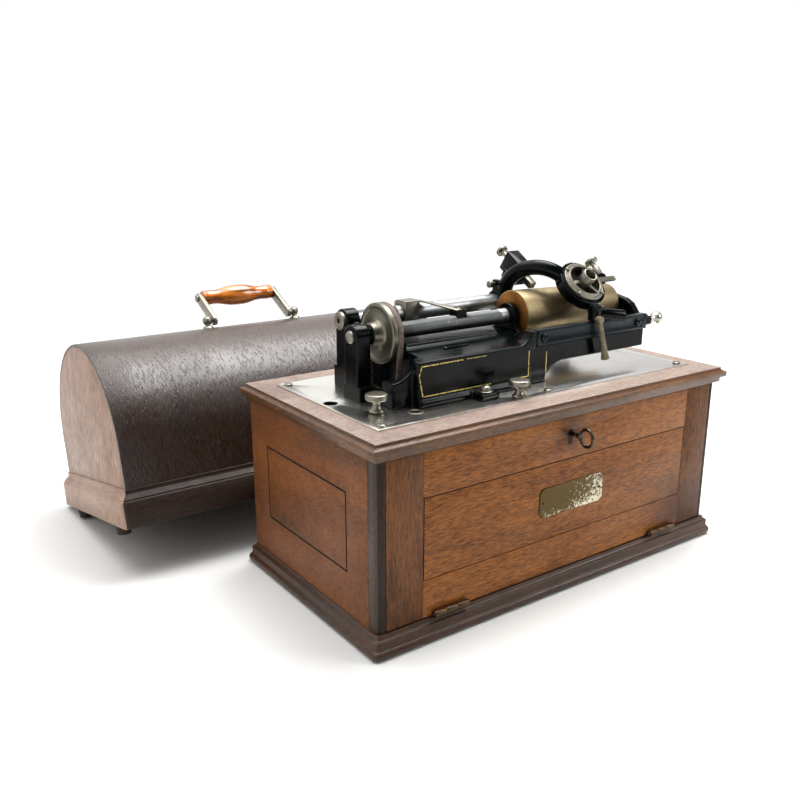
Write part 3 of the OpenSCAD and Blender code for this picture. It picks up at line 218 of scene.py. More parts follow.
def maths(tree, operation, *values):
    """The result of a sum on values."""
    return add(tree, "ShaderNodeMath", {"operation": operation}, dict(enumerate(values))).outputs[0]


def remap(tree, value, start, end, low, high, smooth=False):
    """A value between start and end, laid between low and high."""
    return add(tree, "ShaderNodeMapRange", {"interpolation_type": "SMOOTHSTEP" if smooth else "LINEAR"},
               {"Value": value, "From Min": start, "From Max": end, "To Min": low, "To Max": high}).outputs[0]


def blend(tree, factor, under, over, kind="MIX"):
    """One colour over another by a factor."""
    return add(tree, "ShaderNodeMix", {"data_type": "RGBA", "blend_type": kind},
               {"Factor": factor, 6: under, 7: over}).outputs[2]


def bumped(tree, height, depth, distance):
    """A surface's relief."""
    return add(tree, "ShaderNodeBump", None,
               {"Height": height, "Strength": depth, "Distance": distance}).outputs[0]


def facing_up(tree):
    """How far a surface faces up."""
    normal = add(tree, "ShaderNodeNewGeometry").outputs["Normal"]
    return add(tree, "ShaderNodeSeparateXYZ", None, {0: normal}).outputs["Z"]


def own_place(tree, source="Object"):
    """The piece's own coordinates."""
    return add(tree, "ShaderNodeTexCoord").outputs[source]


def material(name, **sockets):
    """A new material with its Principled shader; constants are set on the shader's own sockets."""
    mat = bpy.data.materials.new(name)
    mat.use_nodes = True
    tree = mat.node_tree
    tree.nodes.clear()
    shader = add(tree, "ShaderNodeBsdfPrincipled")
    add(tree, "ShaderNodeOutputMaterial", None, {"Surface": shader.outputs[0]})
    for key, value in sockets.items():
        socket = shader.inputs[key.replace("_", " ")]
        socket.default_value = (*value, 1) if socket.type == "RGBA" else value
    return mat, tree, shader


def link(tree, shader, **sockets):
    """Links values to the shader's sockets of those names."""
    for key, value in sockets.items():
        tree.links.new(value, shader.inputs[key.replace("_", " ")])


def oak(name, light, dark, along, seed, pores=0.55, ticks=0.25, polish=0.46, gloss=0.3, coarse=1.0, soil=0.5,
        relief=0.35, spread=0.14, short=1.0, faded=None, source="Object", stains=()):
    """Fumed and oiled oak. Soft broad figure, a fine drawn grain, dark open pores as short dashes along the
    grain, here and there a darker tick, cloudy grime of handling, and stains given as (place, radius, depth).
    Pores are 0.3 mm wide in life and drawn at about 0.6 mm so that they show."""
    mat, tree, shader = material(name, IOR=1.45, Specular_IOR_Level=gloss)
    place = own_place(tree, source)
    board = laid(tree, place, Location=(seed, seed * 0.7, seed * 1.3))

    def drawn(across, down, *rest):
        """Noise drawn out along the grain, with so many cells per metre across it and down it."""
        cells = [down * short if axis == along else across for axis in range(3)]
        return noise(tree, laid(tree, board, Scale=[c / coarse for c in cells]), 1.0, *rest)

    figure = drawn(32, 6, 5.0, 0.6, 0.6)
    grain = drawn(1000, 130, 2.0, 0.55)
    tone = maths(tree, "MULTIPLY_ADD", grain, 0.6, maths(tree, "MULTIPLY_ADD", figure, 0.4, 0.3))
    between = [0.5 * (a + b) for a, b in zip(light, dark)]
    base = ramp(tree, tone, (0.8 - spread, dark), (0.8, between), (0.8 + spread, light))
    dash = ramp(tree, drawn(1400, 120, 1.5, 0.5), (0.57, 0.0), (0.66, pores))
    tick = ramp(tree, drawn(260, 60, 3.0, 0.6, 0.9), (0.64, 0.0), (0.7, ticks))
    pore = maths(tree, "MAXIMUM", dash, tick)
    clouds = noise(tree, board, 15.0, 6.0, 0.66)
    dirt = ramp(tree, clouds, (0.48, 0.0), (0.76, soil))
    for middle, radius, depth in stains:
        far = add(tree, "ShaderNodeVectorMath", {"operation": "DISTANCE"}, {0: place, 1: Vector(middle) * MM})
        ragged = maths(tree, "MULTIPLY_ADD", clouds, radius * MM, far.outputs["Value"])
        fade = remap(tree, ragged, radius * 0.45 * MM, radius * 1.5 * MM, depth, 0.0, smooth=True)
        dirt = maths(tree, "MAXIMUM", dirt, fade)
    wood = blend(tree, dirt, base, (0.3, 0.25, 0.22), "MULTIPLY")
    wood = blend(tree, pore, wood, [c * 0.35 for c in dark])
    # where a lighter top tone is given, faces that point up are blended towards it: painted light from above
    if faded:
        wood = blend(tree, remap(tree, facing_up(tree), 0.5, 1.0, 0.0, 0.5), wood, faded)
    link(tree, shader, Base_Color=wood,
         Roughness=remap(tree, clouds, 0.3, 0.7, polish - 0.06, polish + 0.14),
         Normal=bumped(tree, maths(tree, "SUBTRACT", grain, pore), relief, 0.0004))
    return mat


def metal(name, tint, rough, spots, seed, brushed=None, wear=0.25, haze=0.14):
    """Plated or bare metal with age on it. Cloudy tarnish dulls and darkens it in patches, fine specks
    break the plate, and a brushed one has hairlines along its cut."""
    mat, tree, shader = material(name, Metallic=1.0)
    place = own_place(tree)
    piece = laid(tree, place, Location=(seed, seed, seed))
    clouds = noise(tree, piece, 60.0, 6.0, 0.62)
    speck = ramp(tree, noise(tree, piece, 900.0, 2.0), (0.62, 0.0), (0.74, spots))
    dull = ramp(tree, clouds, (0.35, tint), (0.75, [c * (1 - wear) for c in tint]))
    link(tree, shader, Base_Color=blend(tree, speck, dull, [c * 0.25 for c in tint]),
         Roughness=remap(tree, clouds, 0.3, 0.7, rough, rough + haze))
    if brushed is not None:
        lines = laid(tree, place, Scale=[60 if axis == brushed else 2600 for axis in range(3)])
        link(tree, shader, Normal=bumped(tree, noise(tree, lines, 1.0, 3.0), 0.12, 0.0001))
    return mat


def japan(name, tint, dust, seed):
    """Japanned cast iron. Deep gloss black over slightly wavy iron, with a veil of dust on what faces up
    and dull rubbed patches."""
    mat, tree, shader = material(name, IOR=1.5, Specular_IOR_Level=0.13)
    piece = laid(tree, own_place(tree), Location=(seed, seed, seed))
    patches = noise(tree, piece, 42.0, 7.0, 0.68)
    veil = ramp(tree, patches, (0.5, 0.0), (0.78, dust))
    lying = remap(tree, facing_up(tree), 0.2, 1.0, 0.1, 1.0)
    link(tree, shader, Base_Color=blend(tree, maths(tree, "MULTIPLY", veil, lying), tint, linear("#4a4a48")),
         Roughness=remap(tree, patches, 0.35, 0.75, 0.11, 0.32),
         Normal=bumped(tree, noise(tree, piece, 130.0, 3.0), 0.25, 0.0005))
    return mat


def varnish(name, light, dark, rough, coat, scale, seed):
    """A plain coloured solid under its own finish, such as varnished wood, leather, lacquered wire or bone:
    cloudy colour between a light and a dark tone, and fine tooth in the surface."""
    mat, tree, shader = material(name, Roughness=rough, Coat_Weight=coat, Coat_Roughness=0.12, IOR=1.5)
    piece = laid(tree, own_place(tree), Location=(seed, seed, seed), Scale=scale)
    clouds = noise(tree, piece, 1.0, 6.0, 0.6, 0.4)
    link(tree, shader, Base_Color=ramp(tree, clouds, (0.34, dark), (0.66, light)),
         Normal=bumped(tree, clouds, 0.2, 0.0004))
    return mat


def worn_brass(name, low, high):
    """Old lacquered brass, olive and dull, with pale scratched-through flecks that gather at its right end
    and its lower edge."""
    mat, tree, shader = material(name, Metallic=1.0)
    place = own_place(tree)
    flecks = noise(tree, place, 420.0, 8.0, 0.72)
    axes = add(tree, "ShaderNodeSeparateXYZ", None, {0: place}).outputs
    right = remap(tree, axes["X"], (low.x + 0.35 * (high.x - low.x)) * MM, high.x * MM, 0.0, 0.2)
    below = remap(tree, axes["Z"], low.z * MM, (low.z + 0.4 * (high.z - low.z)) * MM, 0.13, 0.0)
    rubbed = maths(tree, "ADD", maths(tree, "ADD", right, below), flecks)
    bare = ramp(tree, rubbed, (0.66, 0.0), (0.72, 1.0))
    link(tree, shader, Base_Color=blend(tree, bare, linear("#544529"), linear("#ccc6b0")),
         Roughness=remap(tree, flecks, 0.0, 1.0, 0.3, 0.6))
    return mat


def gilt(name, tint):
    """Gold size brushed on by hand, worn through to the black in short breaks."""
    mat, tree, shader = material(name, Metallic=0.35, Roughness=0.45)
    breaks = noise(tree, own_place(tree), 420.0, 4.0, 0.7)
    link(tree, shader, Base_Color=ramp(tree, breaks, (0.4, linear("#1a1610")), (0.5, tint)))
    return mat


def paper(name, tint):
    """White background paper: matt round the object, and lit to plain white farther out."""
    mat, tree, shader = material(name, Roughness=0.9, Emission_Color=(1, 1, 1))
    away = add(tree, "ShaderNodeVectorMath", {"operation": "LENGTH"}, {0: own_place(tree)})
    lit = remap(tree, away.outputs["Value"], 0.8, 1.7, 0.0, 1.0, smooth=True)
    link(tree, shader, Base_Color=blend(tree, lit, tint, (0, 0, 0)), Emission_Strength=lit)
    return mat


FINISHES = {}


def finish(name, make, *values, **more):
    """Each finish is made once and shared by the pieces that have it."""
    if name not in FINISHES:
        FINISHES[name] = make(name, *values, **more)
    return FINISHES[name]


def fitting(name, **more):
    """A fitting's metal, from its line in the table."""
    tint, *values = METALS[name]
    return finish(name, metal, linear(tint), *values, **more)


def coating(name):
    """The finish of a coated or soft piece, from its line in the table."""
    light, dark, *values = COATINGS[name]
    return finish(name, varnish, linear(light), linear(dark), *values)


def timber(name, settings, part, along, seed, shade=1.0, **more):
    """Oak in the two colours that the settings give a part, with its grain along an axis."""
    tones = [[shade * v for v in getattr(settings, part + tone)] for tone in ("_light", "_dark")]
    return finish(name, oak, *tones, along, seed, **more)


def nickel(scene):
    """Nickel plate on brass, buffed a hundred years ago: warm, soft and a little cloudy."""
    return finish("aged_nickel_plate", metal, tuple(scene.works.nickel), 0.3, 0.3, 3.1)


def black(scene):
    """Black japan of the castings."""
    return finish("japanned_iron", japan, tuple(scene.works.japan), 0.1, 1.7)


def bright_steel(scene):
    """Bright drawn steel of rods, pins and shafts."""
    return finish("bright_steel", metal, tuple(scene.works.steel), 0.34, 0.3, 8.1, brushed=0)


def corners(node):
    """The two corners of a CAD node's box, in millimetres."""
    return [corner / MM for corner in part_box(node)]


def on_plate(x, y, height):
    """A point over the bedplate's top face, in millimetres."""
    return Vector((x, y, PLATE_Z + height))


def solid(name, bm, mats, smooth=38.0):
    """A finished object at the origin from a bmesh, with edges sharper than the angle left sharp."""
    mesh = bpy.data.meshes.new(name)
    bm.to_mesh(mesh)
    bm.free()
    for mat in mats:
        mesh.materials.append(mat)
    mesh.shade_smooth()
    mesh.set_sharp_from_angle(angle=math.radians(smooth))
    obj = bpy.data.objects.new(name, mesh)
    bpy.context.scene.collection.objects.link(obj)
    return obj


def seat(obj, nodes, body=None):
    """Rides a finished piece on its body, in place of the CAD nodes that it stands for."""
    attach(obj, body or BODY_OF[nodes[0]])
    if nodes:
        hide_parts(*nodes)
    return obj


def dress(mat, *names):
    """Gives CAD nodes whose shape is right their finish."""
    for name in names:
        for slot in NODES[name].material_slots:
            slot.material = mat


def settled(obj):
    """The object with its modifiers made into a plain mesh."""
    graph = bpy.context.evaluated_depsgraph_get()
    graph.update()
    mesh = bpy.data.meshes.new_from_object(obj.evaluated_get(graph))
    obj.modifiers.clear()
    obj.data = mesh
    mesh.name = obj.name
    return obj


def copied(node):
    """A merged copy of a CAD node's mesh."""
    bm = bmesh.new()
    bm.from_mesh(NODES[node].data)
    bmesh.ops.remove_doubles(bm, verts=bm.verts, dist=2e-6)
    return bm


def round_edges(bm, width, steps=2):
    """Rounds the edges that are sharper than an angle."""
    sharp = [e for e in bm.edges if e.is_manifold and e.calc_face_angle() > math.radians(32)]
    bmesh.ops.bevel(bm, geom=sharp, offset=width, segments=steps, profile=0.5, affect="EDGES",
                    clamp_overlap=True, offset_type="OFFSET")


def outward(bm):
    """Turns the faces of closed shells outwards."""
    bmesh.ops.recalc_face_normals(bm, faces=bm.faces)
    return bm


def worn(node, width, mat, steps=2):
    """A CAD node's own form with its edges worn round, standing for the node."""
    bm = copied(node)
    bmesh.ops.dissolve_limit(bm, angle_limit=math.radians(0.6), verts=bm.verts, edges=bm.edges)
    round_edges(bm, width, steps)
    bmesh.ops.triangulate(bm, faces=[f for f in bm.faces if len(f.verts) > 4])
    return seat(solid(node + "_worn", bm, [mat]), [node])


def cast(node, grain, mat, passes=3):
    """A casting's own form with the soft corners that a sand mould leaves, standing for the node."""
    obj = solid(node + "_cast", copied(node), [mat])
    remesh = obj.modifiers.new("Sand", "REMESH")
    remesh.mode = "VOXEL"
    remesh.voxel_size = grain
    remesh.use_smooth_shade = True
    soft = obj.modifiers.new("Soft", "SMOOTH")
    soft.factor = 0.5
    soft.iterations = passes
    settled(obj).data.shade_smooth()
    return seat(obj, [node])


def round_point(radius, k, steps):
    """The k-th of so many points of a circle."""
    angle = 2 * math.pi * k / steps
    return radius * math.cos(angle), radius * math.sin(angle)


def lathe(bm, profile, at, axis, steps=48, index=0):
    """Turns a profile of (radius, distance along the axis), in millimetres, round an axis through a point."""
    turn = Z.rotation_difference(Vector(axis)).to_matrix()
    at = Vector(at)
    rings = []
    for radius, along in profile:
        count = 1 if radius < 1e-6 else steps
        rings.append([bm.verts.new((at + turn @ Vector((*round_point(radius, k, steps), along))) * MM)
                      for k in range(count)])
    for a, b in zip(rings, rings[1:]):
        for k in range(steps):
            ends = [a[k % len(a)], a[(k + 1) % len(a)], b[(k + 1) % len(b)], b[k % len(b)]]
            ends = list(dict.fromkeys(ends))
            if len(ends) > 2:
                bm.faces.new(ends).material_index = index


def block(bm, low, high, turn=Matrix.Identity(3), at=(0, 0, 0)):
    """A box between two corners in millimetres, turned and moved if asked."""
    for v in bmesh.ops.create_cube(bm, size=1.0)["verts"]:
        p = Vector([(l + h) / 2 + c * (h - l) for l, h, c in zip(low, high, v.co)])
        v.co = (turn @ p + Vector(at)) * MM


def skin(bm, a, b):
    """Joins two loops of as many points with faces."""
    for k in range(len(a)):
        n = (k + 1) % len(a)
        bm.faces.new((a[k], a[n], b[n], b[k]))


def tube(bm, path, radius, sides):
    """A round bar along points in millimetres."""
    path = [Vector(p) for p in path]
    across = None
    rings = []
    for i, p in enumerate(path):
        run = (path[min(i + 1, len(path) - 1)] - path[max(i - 1, 0)]).normalized()
        across = across or run.orthogonal().normalized()
        across = (across - run * across.dot(run)).normalized()
        other = run.cross(across)
        ring = [round_point(radius, k, sides) for k in range(sides)]
        rings.append([bm.verts.new((p + across * a + other * b) * MM) for a, b in ring])
    bm.faces.new(list(reversed(rings[0])))
    bm.faces.new(rings[-1])
    for a, b in zip(rings, rings[1:]):
        skin(bm, a, b)


def turned(name, profile, at, axis, mat, nodes, steps=56, body=None):
    """One turned piece."""
    bm = bmesh.new()
    lathe(bm, profile, at, axis, steps)
    return seat(solid(name, outward(bm), [mat]), nodes, body)


def arc(cx, cy, radius, start, end, steps=8):
    """Points of an arc, angles in degrees."""
    angles = [math.radians(start + (end - start) * k / steps) for k in range(steps + 1)]
    return [(cx + radius * math.cos(a), cy + radius * math.sin(a)) for a in angles]


def rounded_loop(half_w, half_d, corner, steps):
    """Points of a rectangle with rounded corners, all loops with the same count."""
    points = []
    for quarter, (sx, sy) in enumerate(((1, 1), (-1, 1), (-1, -1), (1, -1))):
        start = 90 * quarter
        points += arc(sx * (half_w - corner), sy * (half_d - corner), corner, start, start + 90, steps)
    return points


def moulding(bm, width, depth, profile, worn_corner=0.8, steps=8, place=Matrix()):
    """A closed profile of (outwards, up) in millimetres run round a rectangle, softened at its corners."""
    loops = []
    for out, up in profile:
        corner = worn_corner + max(out, 0) * 0.75
        loops.append([bm.verts.new((place @ Vector((px, py, up))) * MM)
                      for px, py in rounded_loop(width / 2 + out, depth / 2 + out, corner, steps)])
    for a, b in zip(loops, loops[1:] + loops[:1]):
        skin(bm, a, b)
    return outward(bm)


def refinish(obj, mat, chosen):
    """Gives a further finish to the faces for which a test of (centre in millimetres, normal) holds."""
    obj.data.materials.append(mat)
    index = len(obj.data.materials) - 1
    for face in obj.data.polygons:
        if chosen(face.center / MM, face.normal):
            face.material_index = index


def on_side(point, width, depth):
    """Whether a point of a mitred frame lies on its side boards."""
    return abs(point.x) - width / 2 > abs(point.y) - depth / 2


def by_run(obj, mat, width, depth, place=Matrix()):
    """Gives the sides of a mitred frame their own finish, so that each board's grain runs along it."""
    back = place.inverted()
    refinish(obj, mat, lambda p, normal: on_side(back @ p, width, depth))


def shade_scores(obj, node, axis, front, margin):
    """Colours the scored lines in a board's face, a margin away from its edges, near-black: painted shade in the
    grooves.
    """
    shallow, deep = 0.03, 1.35
    low, high = corners(node)
    across = [a for a in range(3) if a != axis]

    def scored(p, normal):
        """Whether a face lies in a scored line."""
        inside = all(low[a] + margin < p[a] < high[a] - margin for a in across)
        return inside and shallow < abs(p[axis] - front) < deep

    # the faces inside the scores are coloured near-black: painted shade in the grooves
    refinish(obj, coating("grimy_score"), scored)


def ribbon(bm, path, width, lift, normal):
    """A thin line of paint along points on a flat face, mitred at its bends."""
    path = [Vector(p) for p in path]
    left, right = [], []
    for i, p in enumerate(path):
        before = (p - path[i - 1]).normalized() if i else None
        after = (path[i + 1] - p).normalized() if i + 1 < len(path) else None
        run = ((before or after) + (after or before)).normalized()
        reach = normal.cross(run) * width / 2 / max(0.4, run.dot(after or before))
        left.append(p + reach)
        right.append(p - reach)
    for i in range(len(path) - 1):
        edge = [left[i], left[i + 1], right[i + 1], right[i]]
        low = [bm.verts.new(c * MM) for c in edge]
        high = [bm.verts.new((c + normal * lift) * MM) for c in edge]
        bm.faces.new(high)
        bm.faces.new(list(reversed(low)))
        skin(bm, low, high)


def new_tree(name, **sockets):
    """A geometry node tree with named inputs of the given socket types."""
    tree = bpy.data.node_groups.new(name, "GeometryNodeTree")
    tree.interface.new_socket("Geometry", in_out="INPUT", socket_type="NodeSocketGeometry")
    for label, kind in sockets.items():
        tree.interface.new_socket(label.replace("_", " "), in_out="INPUT", socket_type="NodeSocket" + kind)
    tree.interface.new_socket("Geometry", in_out="OUTPUT", socket_type="NodeSocketGeometry")
    return tree, add(tree, "NodeGroupInput").outputs


def close_tree(tree, geometry, mat):
    """Ends a tree in real geometry with its finish."""
    real = add(tree, "GeometryNodeRealizeInstances", None, {"Geometry": geometry})
    done = add(tree, "GeometryNodeSetMaterial", None, {"Geometry": real.outputs[0], "Material": mat})
    add(tree, "NodeGroupOutput", None, {0: done.outputs[0]})
    return tree


def winding_tree():
    """Wire wound evenly round a core, also used for a fine thread."""
    tree, given = new_tree("Wound wire", Turns="Float", Radius="Float", Length="Float", Wire_radius="Float",
                           Steps="Int", Sides="Int", Place="Vector", Turn="Rotation", Finish="Material")
    spiral = add(tree, "GeometryNodeCurveSpiral", None,
                 {"Resolution": given["Steps"], "Rotations": given["Turns"], "Start Radius": given["Radius"],
                  "End Radius": given["Radius"], "Height": given["Length"]})
    ring = add(tree, "GeometryNodeCurvePrimitiveCircle", {"mode": "RADIUS"},
               {"Resolution": given["Sides"], "Radius": given["Wire radius"]})
    even = add(tree, "GeometryNodeSetCurveNormal", {"mode": "Z_UP"}, {"Curve": spiral.outputs[0]})
    wire = add(tree, "GeometryNodeCurveToMesh", None,
               {"Curve": even.outputs[0], "Profile Curve": ring.outputs[0], "Fill Caps": True})
    moved = add(tree, "GeometryNodeTransform", None,
                {"Geometry": wire.outputs[0], "Translation": given["Place"], "Rotation": given["Turn"]})
    return close_tree(tree, moved.outputs[0], given["Finish"])


def scatter_tree():
    """One small part set at each point, facing along the point's own direction and turned about it."""
    tree, given = new_tree("Set parts", Part="Object", Size="Float", Finish="Material")
    facing = add(tree, "GeometryNodeInputNamedAttribute", {"data_type": "FLOAT_VECTOR"}, {"Name": "facing"})
    turn = add(tree, "GeometryNodeInputNamedAttribute", {"data_type": "FLOAT"}, {"Name": "turn"})
    aim = add(tree, "FunctionNodeAlignRotationToVector", {"axis": "Z"}, {"Vector": facing.outputs[0]})
    spin = add(tree, "FunctionNodeAxisAngleToRotation", None, {"Axis": (0, 0, 1), "Angle": turn.outputs[0]})
    both = add(tree, "FunctionNodeRotateRotation", {"rotation_space": "LOCAL"},
               {"Rotation": aim.outputs[0], "Rotate By": spin.outputs[0]})
    part = add(tree, "GeometryNodeObjectInfo", None, {"Object": given["Part"]})
    size = add(tree, "ShaderNodeCombineXYZ", None, {k: given["Size"] for k in range(3)})
    parts = add(tree, "GeometryNodeInstanceOnPoints", None,
                {"Points": given["Geometry"], "Instance": part.outputs["Geometry"],
                 "Rotation": both.outputs[0], "Scale": size.outputs[0]})
    return close_tree(tree, parts.outputs[0], given["Finish"])


def bars_tree():
    """Bars set evenly round a shaft, as on a commutator."""
    tree, given = new_tree("Bars round a shaft", Count="Int", Radius="Float", Bar="Vector", Place="Vector",
                           Turn="Rotation", Finish="Material")
    circle = add(tree, "GeometryNodeMeshCircle", None,
                 {"Vertices": given["Count"], "Radius": given["Radius"]})
    bar = add(tree, "GeometryNodeMeshCube", None, {"Size": given["Bar"]})
    step = maths(tree, "DIVIDE", 2 * math.pi, given["Count"])
    angle = maths(tree, "MULTIPLY", step, add(tree, "GeometryNodeInputIndex").outputs[0])
    spin = add(tree, "FunctionNodeAxisAngleToRotation", None, {"Axis": (0, 0, 1), "Angle": angle})
    bars = add(tree, "GeometryNodeInstanceOnPoints", None,
               {"Points": circle.outputs[0], "Instance": bar.outputs[0], "Rotation": spin.outputs[0]})
    moved = add(tree, "GeometryNodeTransform", None,
                {"Geometry": bars.outputs[0], "Translation": given["Place"], "Rotation": given["Turn"]})
    return close_tree(tree, moved.outputs[0], given["Finish"])


TREES = {}


def grown(name, make, values, points=()):
    """A plain mesh object grown from named inputs, and from points if given, by a tree that is made once."""
    if make not in TREES:
        TREES[make] = make()
    tree = TREES[make]
    mesh = bpy.data.meshes.new(name)
    if points:
        mesh.from_pydata([tuple(p * MM) for p, _, _ in points], [], [])
        mesh.attributes.new("facing", "FLOAT_VECTOR", "POINT").data.foreach_set(
            "vector", [c for _, facing, _ in points for c in facing])
        mesh.attributes.new("turn", "FLOAT", "POINT").data.foreach_set("value", [t for _, _, t in points])
    obj = bpy.data.objects.new(name, mesh)
    bpy.context.scene.collection.objects.link(obj)
    mod = obj.modifiers.new("Grow", "NODES")
    mod.node_group = tree
    for item in tree.interface.items_tree:
        if item.item_type == "SOCKET" and item.in_out == "INPUT" and item.name in values:
            mod[item.identifier] = values[item.name]
    settled(obj).data.shade_smooth()
    obj.data.set_sharp_from_angle(angle=math.radians(40))
    return obj


def wound(name, node, mat, place, turn, radius, run, pitch, wire, sides):
    """Wire wound on a core, or a fine thread, measured in millimetres and standing for a CAD node."""
    values = {"Turns": run / pitch, "Radius": radius * MM, "Length": run * MM, "Wire radius": wire * MM,
              "Steps": 40, "Sides": sides, "Place": place * MM, "Turn": turn, "Finish": mat}
    return seat(grown(name, winding_tree, values), [node])


def screw_head(dome):
    """A slotted screw head of unit radius, standing on zero: domed or nearly flat."""
    rim, steps = 0.22, 6
    bm = bmesh.new()
    angles = [math.pi / 2 * k / steps for k in range(steps)]
    curve = [(math.cos(a), rim + dome * math.sin(a)) for a in angles]
    lathe(bm, [(0, -0.4), (0.96, -0.4), (1.0, -0.34), *curve, (0, rim + dome)], (0, 0, 0), Z, 28)
    head = solid("head", outward(bm), [])
    cut = bmesh.new()
    block(cut, (-1.3, -0.13, rim + dome * 0.35), (1.3, 0.13, 2))
    tool = solid("slot", cut, [])
    slot = head.modifiers.new("Slot", "BOOLEAN")
    slot.object = tool
    slot.solver = "EXACT"
    settled(head)
    bpy.data.objects.remove(tool)
    for v in head.data.vertices:
        v.co /= MM
    return head


def screws(name, places, radius, mat, nodes, dome=0.35, body=None):
    """Slotted screws set on a body; places are (point in mm, facing, turn of the slot)."""
    head = screw_head(dome)
    obj = grown(name, scatter_tree, {"Part": head, "Size": radius * MM, "Finish": mat}, places)
    bpy.data.objects.remove(head)
    return seat(obj, nodes, body)


class PHONO_OT_stage(bpy.types.Operator):
    """Pale floor, even studio light and the camera"""

    bl_idname = "phono.stage"
    bl_label = "Stage"

    def execute(self, context):
        scene = context.scene
        settings = scene.studio
        bm = bmesh.new()
        bmesh.ops.create_circle(bm, cap_ends=True, segments=96, radius=3)
        for v in bm.verts:
            v.co.z = -0.0004
        solid("floor", bm, [paper("studio_paper", tuple(settings.floor))])
        scene.world = self.sky(settings)
        for name, at, to, size, power in (
                ("overhead", (0.0, 0.5, 2.6), (0, 0.3, 0), 3.2, settings.top),
                ("key", (0.7, 0.2, 2.0), (0, 0.1, 0.15), 1.3, settings.key),
                ("front", (1.1, -0.9, 0.9), (0, 0, 0.2), 0.8, settings.front)):
            light = bpy.data.lights.new(name, "AREA")
            light.shape = "DISK"
            light.size = size
            light.energy = power
            turn = (Vector(to) - Vector(at)).to_track_quat("-Z", "Y").to_euler()
            self.stand(scene, name, light, at, turn)
        camera = bpy.data.cameras.new("camera")
        camera.lens = settings.lens
        camera.sensor_width = 36
        camera.clip_start = 0.01
        scene.camera = self.stand(scene, "camera", camera, (-0.5699, -0.6408, 0.4076),
                                  (math.radians(74.004), 0, math.radians(-35.37)))
        scene.view_settings.view_transform = "Standard"
        return {"FINISHED"}

    def stand(self, scene, name, data, at, turn):
        """Sets a lamp or the camera on the stage."""
        obj = bpy.data.objects.new(name, data)
        obj.location = at
        obj.rotation_euler = turn
        scene.collection.objects.link(obj)
        return obj

    def sky(self, settings):
        """An even white sweep behind, and a dim room before the front faces."""
        world = bpy.data.worlds.new("studio")
        world.use_nodes = True
        tree = world.node_tree
        sky = tree.nodes["Background"]
        sky.inputs["Color"].default_value = (1, 1, 1, 1)
        aim = add(tree, "ShaderNodeVectorMath", {"operation": "DOT_PRODUCT"},
                  {0: own_place(tree, "Generated"), 1: (0.62, -0.78, 0.0)})
        room = remap(tree, aim.outputs["Value"], -0.3, 0.65, settings.sky, settings.room, smooth=True)
        seen = add(tree, "ShaderNodeMix", None,
                   {"Factor": add(tree, "ShaderNodeLightPath").outputs["Is Camera Ray"], 2: room, 3: 1.0})
        tree.links.new(seen.outputs[0], sky.inputs["Strength"])
        return world


class PHONO_OT_case(bpy.types.Operator):
    """Oak case: base moulding, sides, posts, back and moulded top slab"""

    bl_idname = "phono.case"
    bl_label = "Case"

    POLISHED = {"polish": 0.3, "gloss": 0.5}

    def execute(self, context):
        c = context.scene.case
        width, depth = -2 * corners("left_side")[0].x, 2 * corners("back_panel")[1].y
        self.base(c, width, depth)
        self.boards(c)
        self.slab(c, width, depth)
        return {"FINISHED"}

    def base(self, c, width, depth):
        """Base moulding: a round nose, a fillet and a cove under the boards."""
        low, high = corners("base_moulding")
        tall, inner, nose = high.z, -12, 4.4
        cove = -low.x - width / 2 - nose
        profile = [(inner, 0.4), (inner + 0.4, 0), (cove - 0.4, 0), *arc(cove, nose, nose, -84, 74, 14),
                   (cove + 1, 2 * nose + 0.2), (cove + 1, tall - cove - 0.5),
                   *arc(cove + 1, tall, cove, 265, 185, 7), (0.6, tall), (inner, tall)]
        bm = bmesh.new()
        moulding(bm, width, depth, profile)
        front = timber("stained_oak_front", c, "base", 0, 0.4, **self.POLISHED)
        side = timber("stained_oak_side", c, "base", 1, 0.9, **self.POLISHED)
        run = solid("base_moulding_run", bm, [front], 50)
        by_run(run, side, width, depth)
        seat(run, ["base_moulding"])

    def boards(self, c):
        """Sides with their scored lines, corner posts, back and floor."""
        red = timber("reddish_oak", c, "side", 1, 2.2, pores=0.5, ticks=0.4, spread=0.15)
        for node, outer in (("left_side", 0), ("right_side", 1)):
            # the scored lines of the sides are painted near-black: painted shade in the grooves
            shade_scores(worn(node, c.edge * 0.5, red), node, 0, corners(node)[outer].x, 10)
        # the posts' front faces take the base oak at 0.4 and their side faces the same oak at 0.75: painted shade
        # on the front, painted light on the sides of the round corner
        posts = worn("corner_posts", c.edge, timber("stained_oak_post", c, "base", 2, 1.4, 0.4), 3)
        refinish(posts, timber("stained_oak_post_side", c, "base", 2, 1.4, 0.75, **self.POLISHED),
                 lambda p, normal: abs(normal.x) > 0.8)
        worn("back_panel", c.edge, timber("back_oak", c, "stile", 0, 3.3))
        dress(timber("floor_oak", c, "stile", 0, 3.9), "case_floor")

    def slab(self, c, width, depth):
        """Faded top slab, whose moulded edge kept its colour."""
        slab = worn("top_slab", c.edge * 0.5, timber("faded_oak", c, "slab", 0, 4.4))
        top = corners("top_slab")[1].z

        def rim(p, normal):
            """Whether a face belongs to the moulded edge."""
            faded = normal.z > 0.9 and p.z > top - 0.6
            return not faded and (abs(p.x) > width / 2 - 1 or abs(p.y) > depth / 2 - 1)

        front, side = (timber("rim_oak_" + name, c, "rim", along, 4.9 + along, **self.POLISHED)
                       for along, name in enumerate(("front", "side")))
        refinish(slab, front, rim)
        refinish(slab, side, lambda p, normal: rim(p, normal) and on_side(p, width, depth))


